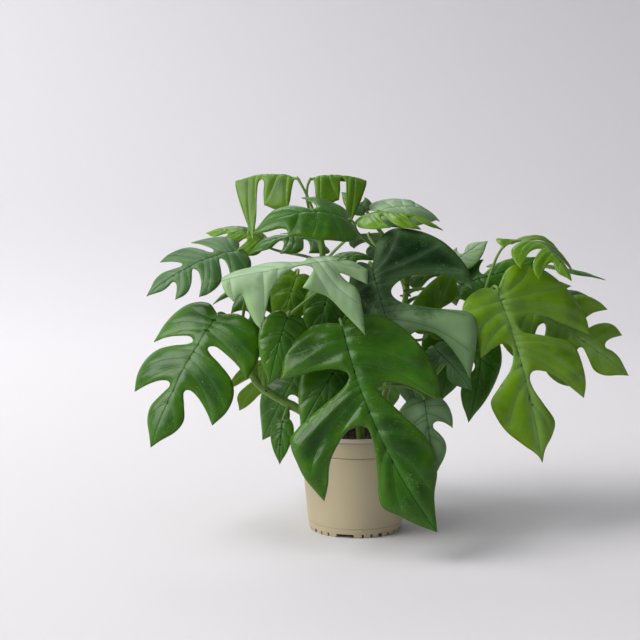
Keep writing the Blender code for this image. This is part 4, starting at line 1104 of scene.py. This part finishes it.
def pot_profile():
    """The pot's section: up the inside, over the lip, down the wall and under the foot."""
    rim_inside = inner_radius(POT_HEIGHT)
    below_band = wall_radius(BAND_BOTTOM - SOFT_EDGE) - LINE_DEPTH
    foot_line = wall_radius(FOOT_LINE) - EDGE_ROUNDING
    ring_inside = FOOT_RADIUS - FOOT_RING_WIDTH
    profile = [(0.0, FLOOR_RAISE + WALL)]
    profile += [(inner_radius(height), height) for height in
                (FLOOR_RAISE + WALL, BAND_BOTTOM - SOFT_EDGE, BAND_BOTTOM)]
    profile += [(rim_inside, POT_HEIGHT - SOFT_EDGE * 2)]
    profile += arc((rim_inside + LIP_CORNER, POT_HEIGHT - LIP_CORNER), LIP_CORNER, 180, 90, 6)
    profile += arc((RIM_RADIUS - LIP_CORNER, POT_HEIGHT - LIP_CORNER), LIP_CORNER, 90, 0, 8)
    profile += arc((RIM_RADIUS - LIP_LOWER_CORNER, LIP_BOTTOM + LIP_LOWER_CORNER), LIP_LOWER_CORNER,
                   0, -90, 6)
    profile += [(wall_radius(LIP_BOTTOM), LIP_BOTTOM + 0.01 * CM)]
    profile += wall_points(LIP_BOTTOM - SOFT_EDGE, BAND_BOTTOM + 0.02 * CM, 8)
    profile += arc((wall_radius(BAND_BOTTOM) - EDGE_ROUNDING, BAND_BOTTOM + EDGE_ROUNDING), EDGE_ROUNDING,
                   0, -90, 4)
    profile += [(below_band, BAND_BOTTOM - 0.005 * CM), (below_band, BAND_BOTTOM - 0.04 * CM)]
    profile += wall_points(BAND_BOTTOM - 0.07 * CM, FOOT_LINE + 0.03 * CM, 30)
    profile += [(foot_line, FOOT_LINE + 0.01 * CM), (foot_line, FOOT_LINE - 0.02 * CM)]
    profile += wall_points(FOOT_LINE - 0.04 * CM, EDGE_ROUNDING, 10)
    profile += [(wall_radius(0.0) - EDGE_ROUNDING, 0.0), (ring_inside, 0.0)]
    profile += [(ring_inside - SOFT_EDGE, FLOOR_RAISE), (CENTRE_PAD_RADIUS + FLOOR_RAISE, FLOOR_RAISE)]
    return profile + [(CENTRE_PAD_RADIUS, 0.0), (0.0, 0.0)]


def turned_mesh(name, profile, sides):
    """A profile of (radius, height), from the axis and back to it, turned round Z."""
    turns = [2 * math.pi * k / sides for k in range(sides)]
    points = [(radius * math.cos(turn), radius * math.sin(turn), height)
              for radius, height in profile[1:-1] for turn in turns]
    faces = ring_faces(0, len(profile) - 2, sides)
    start, end = len(points), len(points) + 1
    faces += [(start, (k + 1) % sides, k) for k in range(sides)]
    faces += [(end, start - sides + k, start - sides + (k + 1) % sides) for k in range(sides)]
    points += [(0.0, 0.0, profile[0][1]), (0.0, 0.0, profile[-1][1])]
    mesh = new_mesh(name, points, faces)
    turn_outwards(mesh)
    return mesh


def notch_mesh():
    """Radial blocks through the foot ring, narrower towards their tops."""
    shape = bmesh.new()
    for quarter in range(4):
        for turn, width in NOTCHES.items():
            angle = FIRST_DRAIN_TURN + math.radians(turn) + quarter * math.pi / 2
            for vert in bmesh.ops.create_cube(shape, size=1.0)["verts"]:
                out = NOTCH_MIDDLE + vert.co.x * NOTCH_DEPTH
                side = vert.co.y * width * (1 - NOTCH_NARROWING * (vert.co.z + 0.5))
                vert.co = Vector((out * math.cos(angle) - side * math.sin(angle),
                                  out * math.sin(angle) + side * math.cos(angle),
                                  vert.co.z * NOTCH_HEIGHT * 2))
    mesh = bpy.data.meshes.new("foot_notches")
    shape.to_mesh(mesh)
    shape.free()
    return mesh


def make_pot():
    blank = add_object("pot_blank", turned_mesh("nursery_pot", pot_profile(), POT_SIDES))
    cutter = add_object("foot_notches", notch_mesh())
    cutting = blank.modifiers.new("notches", "BOOLEAN")
    cutting.operation = "DIFFERENCE"
    cutting.solver = "EXACT"
    cutting.object = cutter
    bpy.context.view_layer.update()
    mesh = bpy.data.meshes.new_from_object(blank.evaluated_get(bpy.context.evaluated_depsgraph_get()))
    for item in (blank, cutter):
        bpy.data.objects.remove(item)
    mesh.materials.clear()
    mesh.materials.append(pot_finish())
    mesh.shade_smooth()
    mesh.set_sharp_from_angle(angle=EDGE_ANGLE)
    add_piece("nursery_pot", mesh, "pot")


def soil_height(x, y, waves):
    return sum(size * math.sin(a * x + b * y + c) for a, b, c, size in waves)


def soil_block(draw, reach, waves):
    """An uneven round top, and below it the wall and the floor that lie in the pot."""
    points = [(0, 0, SOIL_TOP + soil_height(0, 0, waves))]
    for ring in range(1, SOIL_RINGS + 1):
        radius = reach * ring / SOIL_RINGS
        from_wall = SOIL_RINGS - ring
        for k in range(SOIL_SIDES):
            turn = 2 * math.pi * (k + 0.5 * (ring % 2)) / SOIL_SIDES
            x, y = radius * math.cos(turn), radius * math.sin(turn)
            z = SOIL_TOP + soil_height(x, y, waves) * min(1.0, from_wall / 3) - SOIL_DIP
            points.append((x, y, z + draw.uniform(-SOIL_GRAIN, SOIL_GRAIN) * min(1.0, from_wall / 2)))
    for height in (BAND_BOTTOM - 0.1 * CM, FLOOR_RAISE + WALL + SOIL_GAP):
        radius = inner_radius(height) - SOIL_GAP
        points += [(radius * math.cos(2 * math.pi * k / SOIL_SIDES),
                    radius * math.sin(2 * math.pi * k / SOIL_SIDES), height) for k in range(SOIL_SIDES)]
    faces = [(0, k + 1, (k + 1) % SOIL_SIDES + 1) for k in range(SOIL_SIDES)]
    faces += ring_faces(1, SOIL_RINGS + 2, SOIL_SIDES)
    faces.append(tuple(range(len(points) - 1, len(points) - SOIL_SIDES - 1, -1)))
    return new_mesh("potting_soil", points, faces, [soil_finish()])


def make_soil():
    """Crumbly soil: an uneven top with crumbs, down to the pot's floor."""
    draw = random.Random(41)
    waves = [(*wave(draw, k * SOIL_WAVE), SOIL_SWELL / k ** 0.8) for k in SOIL_WAVES]
    reach = inner_radius(SOIL_TOP) - SOIL_GAP
    mesh = soil_block(draw, reach, waves)
    shape = bmesh.new()
    shape.from_mesh(mesh)
    for _ in range(CRUMBS):
        turn = draw.uniform(0, 2 * math.pi)
        out = reach * math.sqrt(draw.random()) * CRUMB_REACH
        x, y = out * math.cos(turn), out * math.sin(turn)
        size = draw.choice(CRUMB_SIZES) * MM
        stretch = Vector([draw.uniform(*ends) for ends in CRUMB_STRETCH])
        place = Vector((x, y, SOIL_TOP + soil_height(x, y, waves) - CRUMB_DEPTH))
        for vert in bmesh.ops.create_icosphere(shape, subdivisions=1, radius=size)["verts"]:
            vert.co = place + Vector(c * s * draw.uniform(*CRUMB_BUMPS) for c, s in zip(vert.co, stretch))
    bmesh.ops.recalc_face_normals(shape, faces=shape.faces)
    shape.to_mesh(mesh)
    shape.free()
    mesh.shade_smooth()
    add_piece("crumbly_soil", mesh, "soil")


def make_floor():
    """A pale floor that curves up all round, open at the top."""
    profile = [(0.0, 0.0), (FLOOR_FLAT, 0.0)]
    profile += arc((FLOOR_FLAT, FLOOR_CURVE), FLOOR_CURVE, -90, 0, FLOOR_PIECES)[1:]
    profile += [(FLOOR_FLAT + FLOOR_CURVE, ROOM_HEIGHT), (0.0, ROOM_HEIGHT)]
    floor = add_object("studio_floor", turned_mesh("studio_floor", profile, FLOOR_SIDES))
    floor.data.materials.append(floor_finish())
    shape = bmesh.new()
    shape.from_mesh(floor.data)
    lid = [face for face in shape.faces if face.calc_center_median().z > ROOM_HEIGHT - 0.1]
    bmesh.ops.delete(shape, geom=lid, context="FACES")
    bmesh.ops.reverse_faces(shape, faces=shape.faces)
    shape.to_mesh(floor.data)
    shape.free()


def make_lights():
    for name, place, aim, size, power, spread, tint in STUDIO_LIGHTS:
        lamp = bpy.data.lights.new(name, "AREA")
        lamp.shape = "DISK"
        lamp.size = size
        lamp.energy = power
        lamp.spread = math.radians(spread)
        lamp.color = tint
        item = add_object(name, lamp)
        item.location = place
        item.rotation_euler = (Vector(aim) - Vector(place)).to_track_quat("-Z", "Y").to_euler()
    room = bpy.data.worlds.new("soft_room")
    room.use_nodes = True
    background = room.node_tree.nodes["Background"]
    background.inputs["Color"].default_value = ROOM_TINT
    background.inputs["Strength"].default_value = ROOM_LIGHT
    bpy.context.scene.world = room


def make_camera():
    lens = bpy.data.cameras.new("camera")
    lens.sensor_width = CAMERA_SENSOR
    lens.lens = CAMERA_LENS
    lens.clip_end = 50.0
    camera = add_object("camera", lens)
    camera.location = CAMERA_PLACE
    camera.rotation_euler = (CAMERA_TILT, 0.0, 0.0)
    bpy.context.scene.camera = camera
    bpy.context.scene.view_settings.view_transform = "Standard"


make_floor()
make_lights()
make_camera()
make_pot()
make_soil()
for seed, leaf_form in enumerate(LEAVES.values(), 100):
    prepare_leaf(leaf_form, seed)
stem_finishes = [stem_finish("stem_skin", (0.085, 0.19, 0.015), (0.17, 0.30, 0.040)),
                 stem_finish("petiole_skin", (0.1175, 0.235, 0.0275), (0.16, 0.29, 0.04)),
                 aerial_root_finish()]
for seed, stem_name in enumerate(STEMS, 60):
    make_stem(stem_name, stem_finishes, seed)
leaf_finishes = {tint: (upper_finish(tint), under_finish(tint), rim_finish(tint)) for tint in LEAF_GREENS}
for leaf_name, leaf_form in LEAVES.items():
    make_leaf(leaf_name, leaf_form, leaf_finishes)
